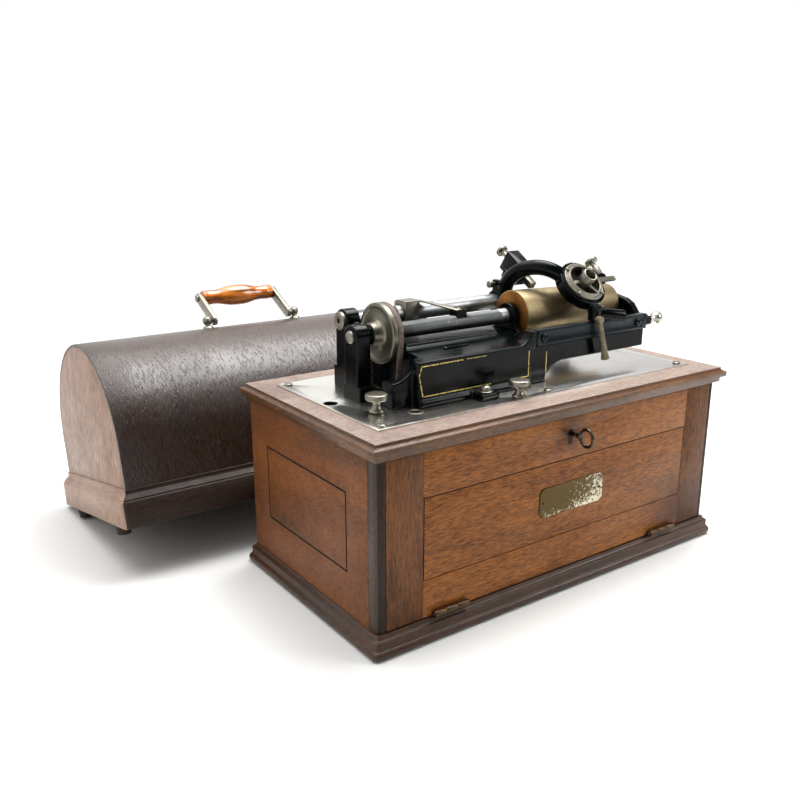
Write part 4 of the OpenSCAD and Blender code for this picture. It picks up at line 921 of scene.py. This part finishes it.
class PHONO_OT_door(bpy.types.Operator):
    """Drop front of the case with its lock, key, hinges and bare plate"""

    bl_idname = "phono.door"
    bl_label = "Door"

    def execute(self, context):
        c = context.scene.case
        corner_dirt = (((190, FRONT_Y, 30), 56, 0.9), ((-190, FRONT_Y, 24), 30, 0.5))
        hand_dirt = (((0, FRONT_Y, 158), 26, 0.8), ((166, FRONT_Y, 42), 66, 1.0),
                     ((-10, FRONT_Y, 22), 30, 0.6), ((-120, FRONT_Y, 176), 30, 0.6))
        stile = timber("stile_oak", c, "stile", 2, 5.1, pores=0.5, coarse=1.1, spread=0.13,
                       stains=corner_dirt)
        door = timber("golden_oak", c, "door", 0, 6.2, pores=0.6, ticks=0.6, coarse=1.05, soil=0.3,
                      spread=0.13, stains=hand_dirt)
        worn("door_stiles", c.edge * 0.7, stile)
        worn("door_rails", c.edge * 0.5, door)
        # the groove round the door panel is painted near-black: painted shade
        shade_scores(worn("door_panel", c.edge * 0.4, door), "door_panel", 1, FRONT_Y, -1)
        for node in ("door_hinges", "hinge_leaves"):
            worn(node, 0.25 * MM, fitting("brown_bronze"))
        dress(bright_steel(context.scene), "hinge_pins", "lock_bolt")
        dress(fitting("lock_brass"), "lock_case")
        self.name_plate()
        self.key()
        return {"FINISHED"}

    def name_plate(self):
        """Bare brass plate with clipped corners, a raised rim and two pins."""
        low, high = corners("name_plate")
        clip, rim, pin_in = 4.0, 0.35, 4.4
        sunk = low.y + rim
        bm = bmesh.new()
        rings = []
        for inset, y in ((0, high.y), (0, sunk), (rim, low.y), (1.9, low.y), (2.2, sunk)):
            k = clip - inset * 0.41
            x0, x1, z0, z1 = low.x + inset, high.x - inset, low.z + inset, high.z - inset
            ring = [(x0 + k, z0), (x1 - k, z0), (x1, z0 + k), (x1, z1 - k), (x1 - k, z1), (x0 + k, z1),
                    (x0, z1 - k), (x0, z0 + k)]
            rings.append([bm.verts.new(Vector((px, y, pz)) * MM) for px, pz in ring])
        for a, b in zip(rings, rings[1:]):
            skin(bm, a, b)
        bm.faces.new(rings[0])
        bm.faces.new(rings[-1])
        for x in (low.x + pin_in, high.x - pin_in):
            lathe(bm, [(0, -0.2), (1.5, -0.2), (1.5, 0.2), (1.2, 0.45), (0, 0.55)],
                  (x, sunk, (low.z + high.z) / 2), -Y, 20, index=1)
        mats = [worn_brass("worn_plate_brass", low, high), fitting("pin_iron")]
        seat(solid("name_plate_bare", outward(bm), mats), ["name_plate"])

    def key(self):
        """Plain iron key with an oval bow, and the keyhole behind it, painted near-black as its shade."""
        low, high = corners("key")
        z, tip, bow, steps = JOINTS["key_turn"]["pos_m"][2] / MM, high.y, low.y + 9, 40
        bm = bmesh.new()
        angles = [2 * math.pi * k / steps for k in range(steps + 1)]
        tube(bm, [(0, bow + 7.4 * math.cos(a), z + 8.2 * math.sin(a)) for a in angles], 1.5, 12)
        stem = bow + 7
        lathe(bm, [(0, 0), (2.6, 0), (3.0, 0.6), (3.0, 2.4), (2.2, 3.2), (2.2, 5), (2.8, 5.6), (2.2, 6.2),
                   (2.2, tip - stem), (0, tip - stem)], (0, stem, z), Y, 32)
        block(bm, (-1, tip - 2.1, z - 6.5), (1, tip - 0.1, z))
        face = corners("door_rails")[0].y
        # the keyhole is a near-black ring and slot laid in the door's face: painted shade of the hole
        hole = bmesh.new()
        lathe(hole, [(2.5, -1.5), (4.4, -1.5), (4.4, 0.06), (2.5, 0.06), (2.5, -1.5)], (0, face, z), -Y, 32)
        block(hole, (-2.6, face - 0.05, z - 10.5), (2.6, face + 1.4, z - 2.6))
        seat(solid("keyhole_liner", outward(hole), [coating("grimy_score")]), [], "door")
        seat(solid("key_forged", outward(bm), [fitting("key_iron")]), ["key"])


class PHONO_OT_bed(bpy.types.Operator):
    """Nickelled bedplate, japanned bed casting, its gold lines, posts, rods, screws and thumbscrews"""

    bl_idname = "phono.bed"
    bl_label = "Bed"

    def execute(self, context):
        scene = context.scene
        w = scene.works
        bright = nickel(scene)
        worn("bedplate", 0.5 * MM, finish("polished_nickel_bedplate", metal, tuple(w.plate), 0.22, 0.08, 11.2,
                                          wear=0.06, haze=0.04))
        self.plate_screws(bright)
        self.bed_screws(bright)
        cast("bed_casting", w.sand * 1.25, black(scene))
        self.lines(w)
        for node in ("front_post", "rear_post", "centre_bearing"):
            cast(node, w.sand * 0.75, black(scene))
        dress(bright_steel(scene), "back_rod")
        worn("guide_rail", 0.5 * MM, fitting("blued_rail_steel", brushed=0))
        self.thumbscrews(bright)
        self.eyelets(bright)
        self.rod_cap(bright)
        self.deck_bar(scene)
        return {"FINISHED"}

    def plate_screws(self, mat):
        """Six slotted screws of the bedplate, their slots as they were left."""
        radius = 4
        low, high = corners("plate_screws")
        spots = [(x, y) for x in (low.x + radius, 0, high.x - radius)
                 for y in (low.y + radius, high.y - radius)]
        places = [(on_plate(x, y, 0), Z, 0.7 + 1.3 * i) for i, (x, y) in enumerate(spots)]
        screws("plate_screw_heads", places, radius, mat, ["plate_screws"], 0.25)

    def thumbscrews(self, mat):
        """Two turned thumbscrews with broad flat heads."""
        profile = [(0, -9), (2.9, -9), (3, -8.5), (3, 0.4), (6.2, 0.4), (6.6, 0.8), (6.6, 1.9), (6.0, 2.5),
                   (4.4, 3.6), (3.6, 5.4), (3.3, 7.2), (3.5, 9), (4.6, 10.4), (6.6, 11.2), (9.4, 11.6),
                   (9.9, 12.2), (10, 13), (10, 15.4), (9.7, 16.2), (9, 16.7), (7, 16.9), (0, 17)]
        for side in ("left", "right"):
            node = "thumbscrew_" + side
            at = Vector(JOINTS[side + "_thumbscrew_turn"]["pos_m"]) / MM
            turned(node + "_turned", profile, at, Z, mat, [node])

    def bed_screws(self, mat):
        """The slotted screws of the lug and the rail, a washer, and the pointed pivot of the front post."""
        low, high = corners("guide_rail")
        rail_z = (low.z + high.z) / 2
        lug = on_plate(-66, low.y - 8.5, 7.4)
        screws("lug_screw", [(lug + 1.2 * Z, Z, 0.5)], 5.4, mat, ["bed_screws"], 0.5)
        places = [(Vector((x, low.y + 0.1, rail_z)), -Y, turn) for x, turn in ((15, 0.6), (151, 2.2))]
        screws("rail_screws", places, 4.1, fitting("blued_rail_steel", brushed=0), ["bed_screws"], 0.3)
        turned("lug_washer", [(2.1, -1.4), (6.6, -1.4), (7, -1), (7, -0.3), (6.6, 0), (2.1, 0), (2.1, -1.4)],
               lug, Z, mat, ["bed_screws"])
        turned("pivot_cone", [(0, -7.9), (3.9, -7.9), (4, -0.2), (6, 0), (6, 0.5), (5.2, 1.6), (3.8, 2.8),
                              (2.4, 3.3), (0, 3.4)],
               (corners("front_post")[0].x, AXIS.y, AXIS.z), -X, mat, ["bed_screws"])

    def lines(self, w):
        """Gold lines on the panel of the bed and on the apron beside it."""
        face = corners("guide_rail")[0].y
        apron = face + 3.4
        wide, thick, thin = w.stripe / MM, 0.08, 0.05
        panel_end = [(-4.6, 34.8), (-4.6, 9.9), (-21, 9.8)]
        panel = [(-52, 9.7), (-131.0, 9.4), (-135.2, 28.6), (-132.4, 37.0), (-86, 37.2)]
        hairline = [(-82, 37.2), (-58, 37.2)]
        apron_line = [(22.0, 30), (22.0, 3)]
        bm = bmesh.new()
        for path, y, width, lift in ((panel_end, face, wide, thick), (panel, face, wide, thick),
                                     (hairline, face, wide * 0.5, thin), (apron_line, apron, wide, thick)):
            ribbon(bm, [on_plate(x, y, height) for x, height in path], width, lift, -Y)
        gold = finish("worn_gold_size", gilt, tuple(w.gold))
        seat(solid("gold_lines", bm, [gold]), [], "case")

    def eyelets(self, mat):
        """A flush ring let into the plate beside the left thumbscrew, and the dark oil hole."""
        dark = fitting("sooty_iron")
        at = on_plate(-144, -64, 0)
        turned("plate_eyelet", [(4.2, -0.4), (7.2, -0.4), (7.3, 0.1), (6.8, 0.35), (5.2, 0.35), (4.6, 0.1),
                                (4.2, -0.4)], at, Z, mat, [], body="case")
        # the eyelet's well is a thin near-black disc: painted shade of its hole
        turned("plate_eyelet_well", [(0, 0.04), (4.6, 0.04), (4.6, 0.1), (0, 0.1)], at, Z, dark, [],
               body="case")
        turned("oil_hole_cup", [(6.6, -0.3), (6.6, -6), (0, -6), (0, -5.4), (6, -5.4), (6, -0.3),
                                (6.6, -0.3)],
               on_plate(corners("bedplate")[0].x + 8.8, 1, 0), Z, dark, [], body="case")

    def rod_cap(self, mat):
        """Ringed nickel cap on the left end of the back rod."""
        low, high = corners("back_rod")
        r = (high.z - low.z) / 2
        at = (low.x, ROD.y, ROD.z)
        turned("rod_cap_ring", [(2.6, 0.05), (2.6, 0.7), (3.4, 0.9), (r - 2.6, 0.9), (r - 2.2, 0.5),
                                (r - 1.6, 0.5), (r - 1.2, 0.9), (r - 0.5, 0.8), (r + 0.12, 0.3),
                                (r + 0.12, -1.6), (r, -1.6), (2.6, 0.05)],
               at, -X, mat, [], body="case")
        # the cap's well is a thin near-black disc: painted shade of its bore
        turned("rod_cap_well", [(0, 0.02), (2.7, 0.02), (2.7, 0.2), (0, 0.2)], at, -X,
               fitting("sooty_iron"), [], body="case")

    def deck_bar(self, scene):
        """Small cast bar with a boss on the deck of the bed."""
        deck = PLATE_Z + 43.98
        bm = bmesh.new()
        block(bm, (-88, -35.4, deck - 0.4), (-61, -33.6, deck + 0.9))
        lathe(bm, [(0, -0.4), (2.4, -0.4), (2.4, 0.7), (1.9, 1.1), (0, 1.2)], (-88.6, -34.5, deck), Z, 24)
        round_edges(bm, 0.3 * MM)
        seat(solid("deck_bar", outward(bm), [black(scene)]), [], "case")


class PHONO_OT_spindle(bpy.types.Operator):
    """Feed screw, driving pulley, belt and mandrel"""

    bl_idname = "phono.spindle"
    bl_label = "Spindle"

    def execute(self, context):
        scene = context.scene
        self.feed_screw(scene)
        self.pulley()
        worn("belt", 0.35 * MM, coating("belt_leather"))
        self.mandrel(scene.works)
        return {"FINISHED"}

    def feed_screw(self, scene):
        """Fine screw between the pulley and a grooved bright collar, and the shaft on both sides."""
        w = scene.works
        oiled = finish("oiled_screw_steel", metal, tuple(w.screw), 0.24, 0.35, 13.5)
        low, high = (corner.x for corner in corners("feed_shaft"))
        mandrel = corners("mandrel")[0].x - 0.1
        core, shaft = 7.3, 5
        x0, x1 = corners("drive_pulley")[1].x + 0.2, 15.6
        collar = x1 - 11
        at = (0, 0, AXIS.z)
        bm = bmesh.new()
        lathe(bm, [(0, low), (4.7, low), (shaft, low + 0.4), (shaft, x0), (core, x0),
                   (core, collar)], at, X, 56)
        lathe(bm, [(core, collar), (7.7, x1 - 10.6), (7.8, x1 - 10), (7.8, x1 - 6.6), (7.4, x1 - 6.2),
                   (7.4, x1 - 3), (7.8, x1 - 2.6), (7.7, x1 - 0.3), (core, x1), (6.5, x1), (6.5, mandrel),
                   (shaft, mandrel), (shaft, high - 0.5), (4.5, high), (0, high)], at, X, 56, index=1)
        bmesh.ops.remove_doubles(bm, verts=bm.verts, dist=1e-6)
        seat(solid("feed_screw_core", outward(bm), [oiled, bright_steel(scene)]), ["feed_shaft"])
        run = collar - 0.2 - x0
        wound("feed_thread", "feed_shaft", oiled, Vector((x0, 0, AXIS.z)), (0, math.pi / 2, 0), 7.4, run,
              w.pitch / MM, 0.15, 4)

    def pulley(self):
        """Dished nickel pulley whose flange stands at the left of the belt."""
        low, high = corners("drive_pulley")
        x0, x1, r = low.x, high.x, high.z - AXIS.z
        bore, seat_r = 5.02, r - 2.5
        f = corners("belt")[0].x - 5.6
        profile = [(bore, x0), (9.2, x0), (10.2, x0 + 0.6), (10.6, x0 + 2), (11.6, f - 2.4), (12.6, f - 0.4),
                   (13.6, f + 0.8), (15.5, f + 1.5), (20.5, f + 1.7), (22.8, f + 1.5), (23.6, f + 0.7),
                   (24.6, f + 0.1), (26.6, f), (27.8, f + 0.7), (r, f + 1.8), (r, f + 4.9),
                   (r - 0.4, f + 5.3), (seat_r, f + 5.3), (seat_r, x1), (bore, x1), (bore, x0)]
        # its nickel is painted darker than the rest: painted shade
        turned("drive_pulley_turned", profile, (0, 0, AXIS.z), X, fitting("dulled_pulley_nickel"),
               ["drive_pulley"], 96)

    def mandrel(self, w):
        """Tapered satin mandrel: lengthwise drawn brass, a redder faced left end and a hollow right end."""
        brass = finish("satin_mandrel_brass", metal, tuple(w.brass), 0.42, 0.3, 15.3, brushed=0, wear=0.35)
        low, high = corners("mandrel")
        run, bore, r1, r2 = high.x - low.x, 5.02, 24.8, 20.7
        at = (low.x, 0, AXIS.z)
        bm = bmesh.new()
        lathe(bm, [(bore, 0), (r1 - 1.2, 0), (r1 - 0.7, 0.15)], at, X, 112, index=1)
        lathe(bm, [(r1 - 0.7, 0.15), (r1 - 0.15, 0.5), (r1, 1.1), (r2, run - 0.9), (r2 - 0.3, run - 0.2),
                   (r2 - 0.8, run), (r2 - 2.5, run), (r1 - 2.9, 16), (9, 16), (9, run - 0.3), (8.7, run),
                   (bore, run), (bore, 0)], at, X, 112)
        bmesh.ops.remove_doubles(bm, verts=bm.verts, dist=1e-6)
        seat(solid("mandrel_turned", outward(bm), [brass, fitting("faced_red_brass", wear=0.7)]), ["mandrel"])


class PHONO_OT_carriage(bpy.types.Operator):
    """Carriage: sleeve, feed nut, japanned arm, reproducer, shaving knife and lifting lever"""

    bl_idname = "phono.carriage"
    bl_label = "Carriage"

    def execute(self, context):
        scene = context.scene
        w = scene.works
        bright = nickel(scene)
        dress(bright_steel(scene), "carriage_sleeve")
        dress(finish("bush_brass", metal, tuple(w.brass), 0.3, 0.2, 16.2), "carriage_bush")
        worn("feed_nut_block", 0.7 * MM, bright)
        self.strip(bright)
        cast("carriage_arm", w.sand * 0.7, black(scene), 4)
        worn("shaving_box", 0.8 * MM, black(scene))
        for node, edge in (("knife_holder", 0.5), ("arm_screws", 0.35), ("knife_screw", 0.35)):
            worn(node, edge * MM, bright)
        self.reproducer(bright)
        self.lift_bar(scene)
        worn("lift_lever", 0.3 * MM, coating("yellowed_bone"))
        return {"FINISHED"}

    def strip(self, mat):
        """Bright spring strip with the blackened half nut under its end and two screws on top."""
        nut_left, nut_down, strip_top = -53, 2.6, 71.4
        dark = fitting("blackened_nut")
        high = corners("nut_spring")[1]

        def nut(p, normal):
            """Whether a face belongs to the half nut."""
            return p.x > nut_left and p.z < high.z - nut_down and abs(normal.z) < 0.9

        refinish(worn("nut_spring", 0.3 * MM, mat), dark, nut)
        places = [(on_plate(high.x - 3.2 - 5.4 * i, -3 + 4.5 * i, strip_top), Z, 0.9 + i) for i in (0, 1)]
        screws("strip_screws", places, 2.5, dark, [], 0.5, body="arm")

    def reproducer(self, mat):
        """Ring with three windows between thin spokes, a sound tube, its tail, and four clamp screws."""
        eye = Matrix.Translation(on_plate(89, -30.6, 85.3)) @ Matrix.Rotation(math.radians(45), 4, "X")
        at, turn = eye.translation, eye.to_3x3()
        axis = turn @ Z
        bm = bmesh.new()
        lathe(bm, [(7.6, 2.6), (7.5, 3), (7.5, 18.6), (7.2, 19.3), (6.6, 19.5), (6.1, 19.2), (5.9, 18.6),
                   (5.9, 1.6)], at, axis, 56)
        # the tube's floor is near-black: painted shade in its bore
        lathe(bm, [(5.9, 1.6), (0, 1.6)], at, axis, 56, index=1)
        lathe(bm, [(0, -13.5), (2.7, -13.5), (3, -13.2), (3, -9.5), (21, -9.5), (21.48, -9), (21.48, 5.52),
                   (22.8, 5.52), (23.1, 5.9), (23.1, 7.8), (22.6, 8.4), (21.2, 8.5), (20.8, 8.1), (20.2, 8.1),
                   (19.8, 8.6), (19.5, 9.9), (18.9, 10.5), (17.6, 10.5), (17.1, 10), (16.9, 2.6)],
              at, axis, 72)
        # the ring's floor under the windows is near-black: painted shade of the hollow
        lathe(bm, [(16.9, 2.6), (7.6, 2.6)], at, axis, 72, index=1)
        bmesh.ops.remove_doubles(bm, verts=bm.verts, dist=2e-6)
        for angle in (60, 180, 300):
            spoke = turn @ Matrix.Rotation(math.radians(angle), 3, "Z")
            block(bm, (7.3, -1.7, 2.5), (17.3, 1.7, 8.2), spoke, at)
        block(bm, (20.6, -3, 6.5), (44.5, 2, 8.9), turn, at)
        seat(solid("reproducer_built", outward(bm), [mat, fitting("sooty_iron")]), ["reproducer"])
        ring, rim = 21.6, 8.4
        places = [(eye @ Vector((ring * math.cos(a), ring * math.sin(a), rim)), axis, a)
                  for a in map(math.radians, (40, 130, 220, 310))]
        screws("clamp_screws", places, 2.2, mat, [], 0.7, body="arm")

    def lift_bar(self, scene):
        """Glossy bar that lifts the carriage, with a socket in its end, and the round foot under the eye."""
        axis = Matrix.Rotation(math.radians(-18.2), 3, "Z") @ Matrix.Rotation(math.radians(7.7), 3, "Y") @ X
        bm = bmesh.new()
        lathe(bm, [(0, 3), (4.6, 3.2), (5.5, 5), (5.8, 9), (5.8, 33), (5.6, 34.6), (5.0, 35.8), (4.3, 36),
                   (3.7, 35.6), (3.4, 34.4), (0, 34.4)], on_plate(86, -52.84, 61.36), axis, 40)
        lathe(bm, [(0, 53.6), (5.6, 53.6), (6.4, 54.4), (6.6, 56), (6.6, 60), (7.4, 63), (8.6, 66), (9, 68),
                   (0, 69)], on_plate(88, -53.3, 0), Z, 40)
        seat(solid("lift_bar_round", outward(bm), [black(scene)]), [], "arm")


class PHONO_OT_gate(bpy.types.Operator):
    """End gate that carries the spindle's right end, with its ball knob"""

    bl_idname = "phono.gate"
    bl_label = "Gate"

    def execute(self, context):
        scene = context.scene
        cast("gate_arm", scene.works.sand * 0.7, black(scene))
        low, high = corners("gate_knob")
        middle, r = (low + high) / 2, (high.z - low.z) / 2
        x0, ball_x = low.x, high.x - r
        angles = [math.radians(a) for a in range(32, 180, 8)]
        ball = [(r * math.sin(a), ball_x - r * math.cos(a)) for a in angles]
        profile = [(0, x0), (4.8, x0), (5, x0 + 0.4), (5, x0 + 1.6), (4.4, x0 + 2), (3.4, x0 + 2.4),
                   (3.1, x0 + 4.2), *ball, (0, ball_x + r)]
        turned("gate_knob_turned", profile, (0, middle.y, middle.z), X,
               fitting("bright_knob_nickel", wear=0.3), ["gate_knob"], 48)
        return {"FINISHED"}


class PHONO_OT_motor(bpy.types.Operator):
    """Electric motor that hangs under the bedplate, and the terminals at the back"""

    bl_idname = "phono.motor"
    bl_label = "Motor"

    def execute(self, context):
        iron = finish("motor_iron", japan, linear("#1b1e1f"), 0.4, 18.4)
        brass = fitting("lock_brass")
        steel = bright_steel(context.scene)
        for node, edge, mat in (("motor_frame", 0.8, iron), ("pole_pieces", 0.8, iron),
                                ("motor_shaft", 0.3, steel), ("brush_holders", 0.3, brass),
                                ("binding_posts", 0.3, brass)):
            worn(node, edge * MM, mat)
        self.coils()
        worn("armature", 0.5 * MM, coating("armature_varnish"))
        self.commutator(brass)
        return {"FINISHED"}

    def coils(self):
        """Two field coils of shellacked wire, each on its core."""
        wire = coating("shellacked_wire")
        low, high = corners("field_coils")
        x, r = (low.x + high.x) / 2, (high.x - low.x) / 2
        wire_r, pitch, bore = 0.78, 1.5, 12.02
        run = high.z - low.z - 1.6
        ends = (("field_coil_front", low.y + r), ("field_coil_back", high.y - r))
        core = bmesh.new()
        for name, y in ends:
            wound(name, "field_coils", wire, Vector((x, y, low.z + 0.8)), (0, 0, 0), r - 0.8, run, pitch,
                  wire_r, 8)
            lathe(core, [(bore, low.z + 0.1), (r - 1.2, low.z + 0.1), (r - 1.2, high.z - 0.1),
                         (bore, high.z - 0.1), (bore, low.z + 0.1)], (x, y, 0), Z, 48)
        seat(solid("coil_cores", outward(core), [wire]), ["field_coils"])

    def commutator(self, brass):
        """Copper bars with gaps between, on a brass core."""
        count, gap, bore = 20, 0.9, 4.02
        low, high = corners("commutator")
        r, long = (high.z - low.z) / 2, high.x - low.x
        middle = Vector(((low.x + high.x) / 2, 0, (low.z + high.z) / 2))
        seat(grown("commutator_bars", bars_tree, {
            "Count": count, "Radius": (r - 1.05) * MM,
            "Bar": Vector((2, 2 * math.pi * r / count - gap, long)) * MM, "Place": middle * MM,
            "Turn": (0, math.pi / 2, 0), "Finish": fitting("commutator_copper")}), ["commutator"])
        end, outer = long / 2, r - 1.4
        turned("commutator_core", [(bore, -end), (outer, -end), (outer, end), (bore, end), (bore, -end)],
               middle, X, brass, ["commutator"], 40)


class PHONO_OT_cover(bpy.types.Operator):
    """Bentwood cover with its end panels, skirt, feet and handle"""

    bl_idname = "phono.cover"
    bl_label = "Cover"

    def execute(self, context):
        scene = context.scene
        c = scene.cover
        pivot = Vector(JOINTS["bail_swing"]["pos_m"]) / MM
        lean = Matrix.Rotation(-COVER_LEAN, 4, "X")
        place = Matrix.Translation(pivot) @ lean @ Matrix.Translation((0, 0, -PIVOT_H))
        self.shell(c, place)
        worn("cover_ends", 0.6 * MM, timber("bleached_oak", c, "end", 2, 22.4, pores=0.75, polish=0.42,
                                            gloss=0.5, coarse=1.4, short=1.1, soil=0.6, spread=0.12))
        self.skirt(c, place)
        worn("cover_feet", 0.6 * MM, timber("foot_oak", c, "shell", 2, 24.2))
        self.handle(scene, place)
        return {"FINISHED"}

    def skirt(self, c, place):
        """Moulded skirt round the foot of the shell."""
        wide, deep, inner = 423.4, 222.4, -14
        profile = [(inner, 12.4), (inner + 0.4, 12), (7.6, 12), (8.3, 12.8), (8.3, 38.2), (7.7, 39),
                   (6.9, 39.4), (6.7, 40.8), (6.0, 41.1), *arc(5.9, 47.5, 4.6, 250, 185, 6),
                   (1.6, 48.4), (1.6, 49.6), (1.2, 50), (inner, 50)]
        bm = bmesh.new()
        moulding(bm, wide, deep, profile, 0.4, 4, place)
        run = timber("cover_oak_run", c, "shell", 0, 23.1)
        side = timber("cover_oak_end", c, "end", 1, 23.9, polish=0.42, gloss=0.5)
        skirt = solid("cover_skirt_run", bm, [run], 50)
        by_run(skirt, side, wide, deep, place)
        seat(skirt, ["cover_skirt"])

    def shell(self, c, place):
        """The bent sheet, with its own map: across along its length, up round the arch."""
        half, r, thick, straight, foot = 211.7, 111.2, 3.0, 37.0, 50.0
        rise, edge, eased, cuts = 6, 1.1, 0.8, 12
        spring = foot + straight

        def arch(radius):
            """Outline of the sheet: up one side, over and down the other."""
            up = [foot + straight * k / rise for k in range(rise)]
            return ([(-radius, z) for z in up] + arc(0, spring, radius, 180, 0, 72)
                    + [(radius, z) for z in reversed(up)])

        outer, inner = arch(r), arch(r - thick)
        long = 2 * (half - edge)
        rows = [(-half, eased), *[(edge - half + long * k / cuts, 0.0) for k in range(cuts + 1)],
                (half, eased)]
        run = [0.0]
        for a, b in zip(outer, outer[1:]):
            run.append(run[-1] + (Vector(b) - Vector(a)).length)
        bm = bmesh.new()
        uv = bm.loops.layers.uv.new("UVMap")

        def ring(x, outline):
            """One row of points round the arch, each with its place on the sheet's map."""
            return [(bm.verts.new((place @ Vector((x, y, z))) * MM), (x * MM, along * MM))
                    for (y, z), along in zip(outline, run)]

        grid = []
        for x, inset in rows:
            k = 1 - inset / r
            grid.append(ring(x, [(y * k, spring + (z - spring) * k if z > spring else z) for y, z in outer]))
        inside = [ring(x, inner) for x in (-half, half)]
        sheets = [*zip(grid, grid[1:]), (grid[-1], inside[1]), (inside[1], inside[0]), (inside[0], grid[0])]
        for a, b in sheets:
            for k in range(len(a) - 1):
                ends = (a[k], a[k + 1], b[k + 1], b[k])
                face = bm.faces.new([v for v, _ in ends])
                for loop, (_, spot) in zip(face.loops, ends):
                    loop[uv].uv = spot
        for k in (0, -1):
            bm.faces.new([row[k][0] for row in (*grid, inside[1], inside[0])])
        # the shell is painted lighter where it faces up: painted light on its crown
        bent = timber("bent_oak_sheet", c, "shell", 1, 25.0, pores=0.8, ticks=0.0, polish=0.3, gloss=0.7,
                      coarse=2.3, short=2.4, relief=0.8, faded=linear("#584b44"), source="UV")
        seat(solid("cover_shell_bent", outward(bm), [bent]), ["cover_shell"])

    def handle(self, scene, place):
        """Ball posts, flat nickelled bail and the turned grip."""
        for node in ("handle_posts", "handle_bail"):
            worn(node, 0.4 * MM, nickel(scene))
        bail_lean, grip_h = math.radians(-50), 44
        bail = place @ Matrix.Translation((0, 0, PIVOT_H)) @ Matrix.Rotation(bail_lean, 4, "X")
        low, high = corners("handle_grip")
        half = (high.x - low.x) / 2
        side = [(2.02, 0), (7.4, 0), (8.2, 0.5), (8.8, 1.6), (8.9, 2.8), (8.4, 3.5), (8.9, 4.2), (8.9, 9),
                (8.6, 14), (8.7, 18), (9.3, 23), (10.4, 27.5), (11.4, 31.5), (12.1, 36), (12.5, 41),
                (12.6, half)]
        profile = side + [(r, 2 * half - a) for r, a in reversed(side[:-1])] + [side[0]]
        amber = finish("amber_varnished_wood", varnish, tuple(scene.cover.grip), linear("#6a3510"), 0.22, 0.9,
                       (22, 150, 150), 26.0)
        turned("grip_turned", profile, bail @ Vector((-half, 0, grip_h)), X, amber, ["handle_grip"])


class PHONO_PT_panel(bpy.types.Panel):
    """The pieces of the phonograph"""

    bl_idname = "PHONO_PT_panel"
    bl_label = "Phonograph"
    bl_space_type = "VIEW_3D"
    bl_region_type = "UI"
    bl_category = "Phonograph"

    def draw(self, context):
        for piece in PIECES:
            self.layout.operator(piece.bl_idname)


PIECES = (PHONO_OT_stage, PHONO_OT_case, PHONO_OT_door, PHONO_OT_bed, PHONO_OT_spindle, PHONO_OT_carriage,
          PHONO_OT_gate, PHONO_OT_motor, PHONO_OT_cover)
SETTINGS = {"case": CaseSettings, "works": WorksSettings, "cover": CoverSettings, "studio": StageSettings}
CLASSES = (*SETTINGS.values(), *PIECES, PHONO_PT_panel)


def register():
    """Adds the settings, the operators and the panel."""
    for cls in CLASSES:
        bpy.utils.register_class(cls)
    for name, group in SETTINGS.items():
        setattr(bpy.types.Scene, name, PointerProperty(type=group))


def unregister():
    """Takes them away again."""
    for name in SETTINGS:
        delattr(bpy.types.Scene, name)
    for cls in reversed(CLASSES):
        bpy.utils.unregister_class(cls)


def main():
    """Builds all the pieces."""
    register()
    for piece in PIECES:
        group, name = piece.bl_idname.split(".")
        getattr(getattr(bpy.ops, group), name)()


if __name__ == "__main__":
    main()
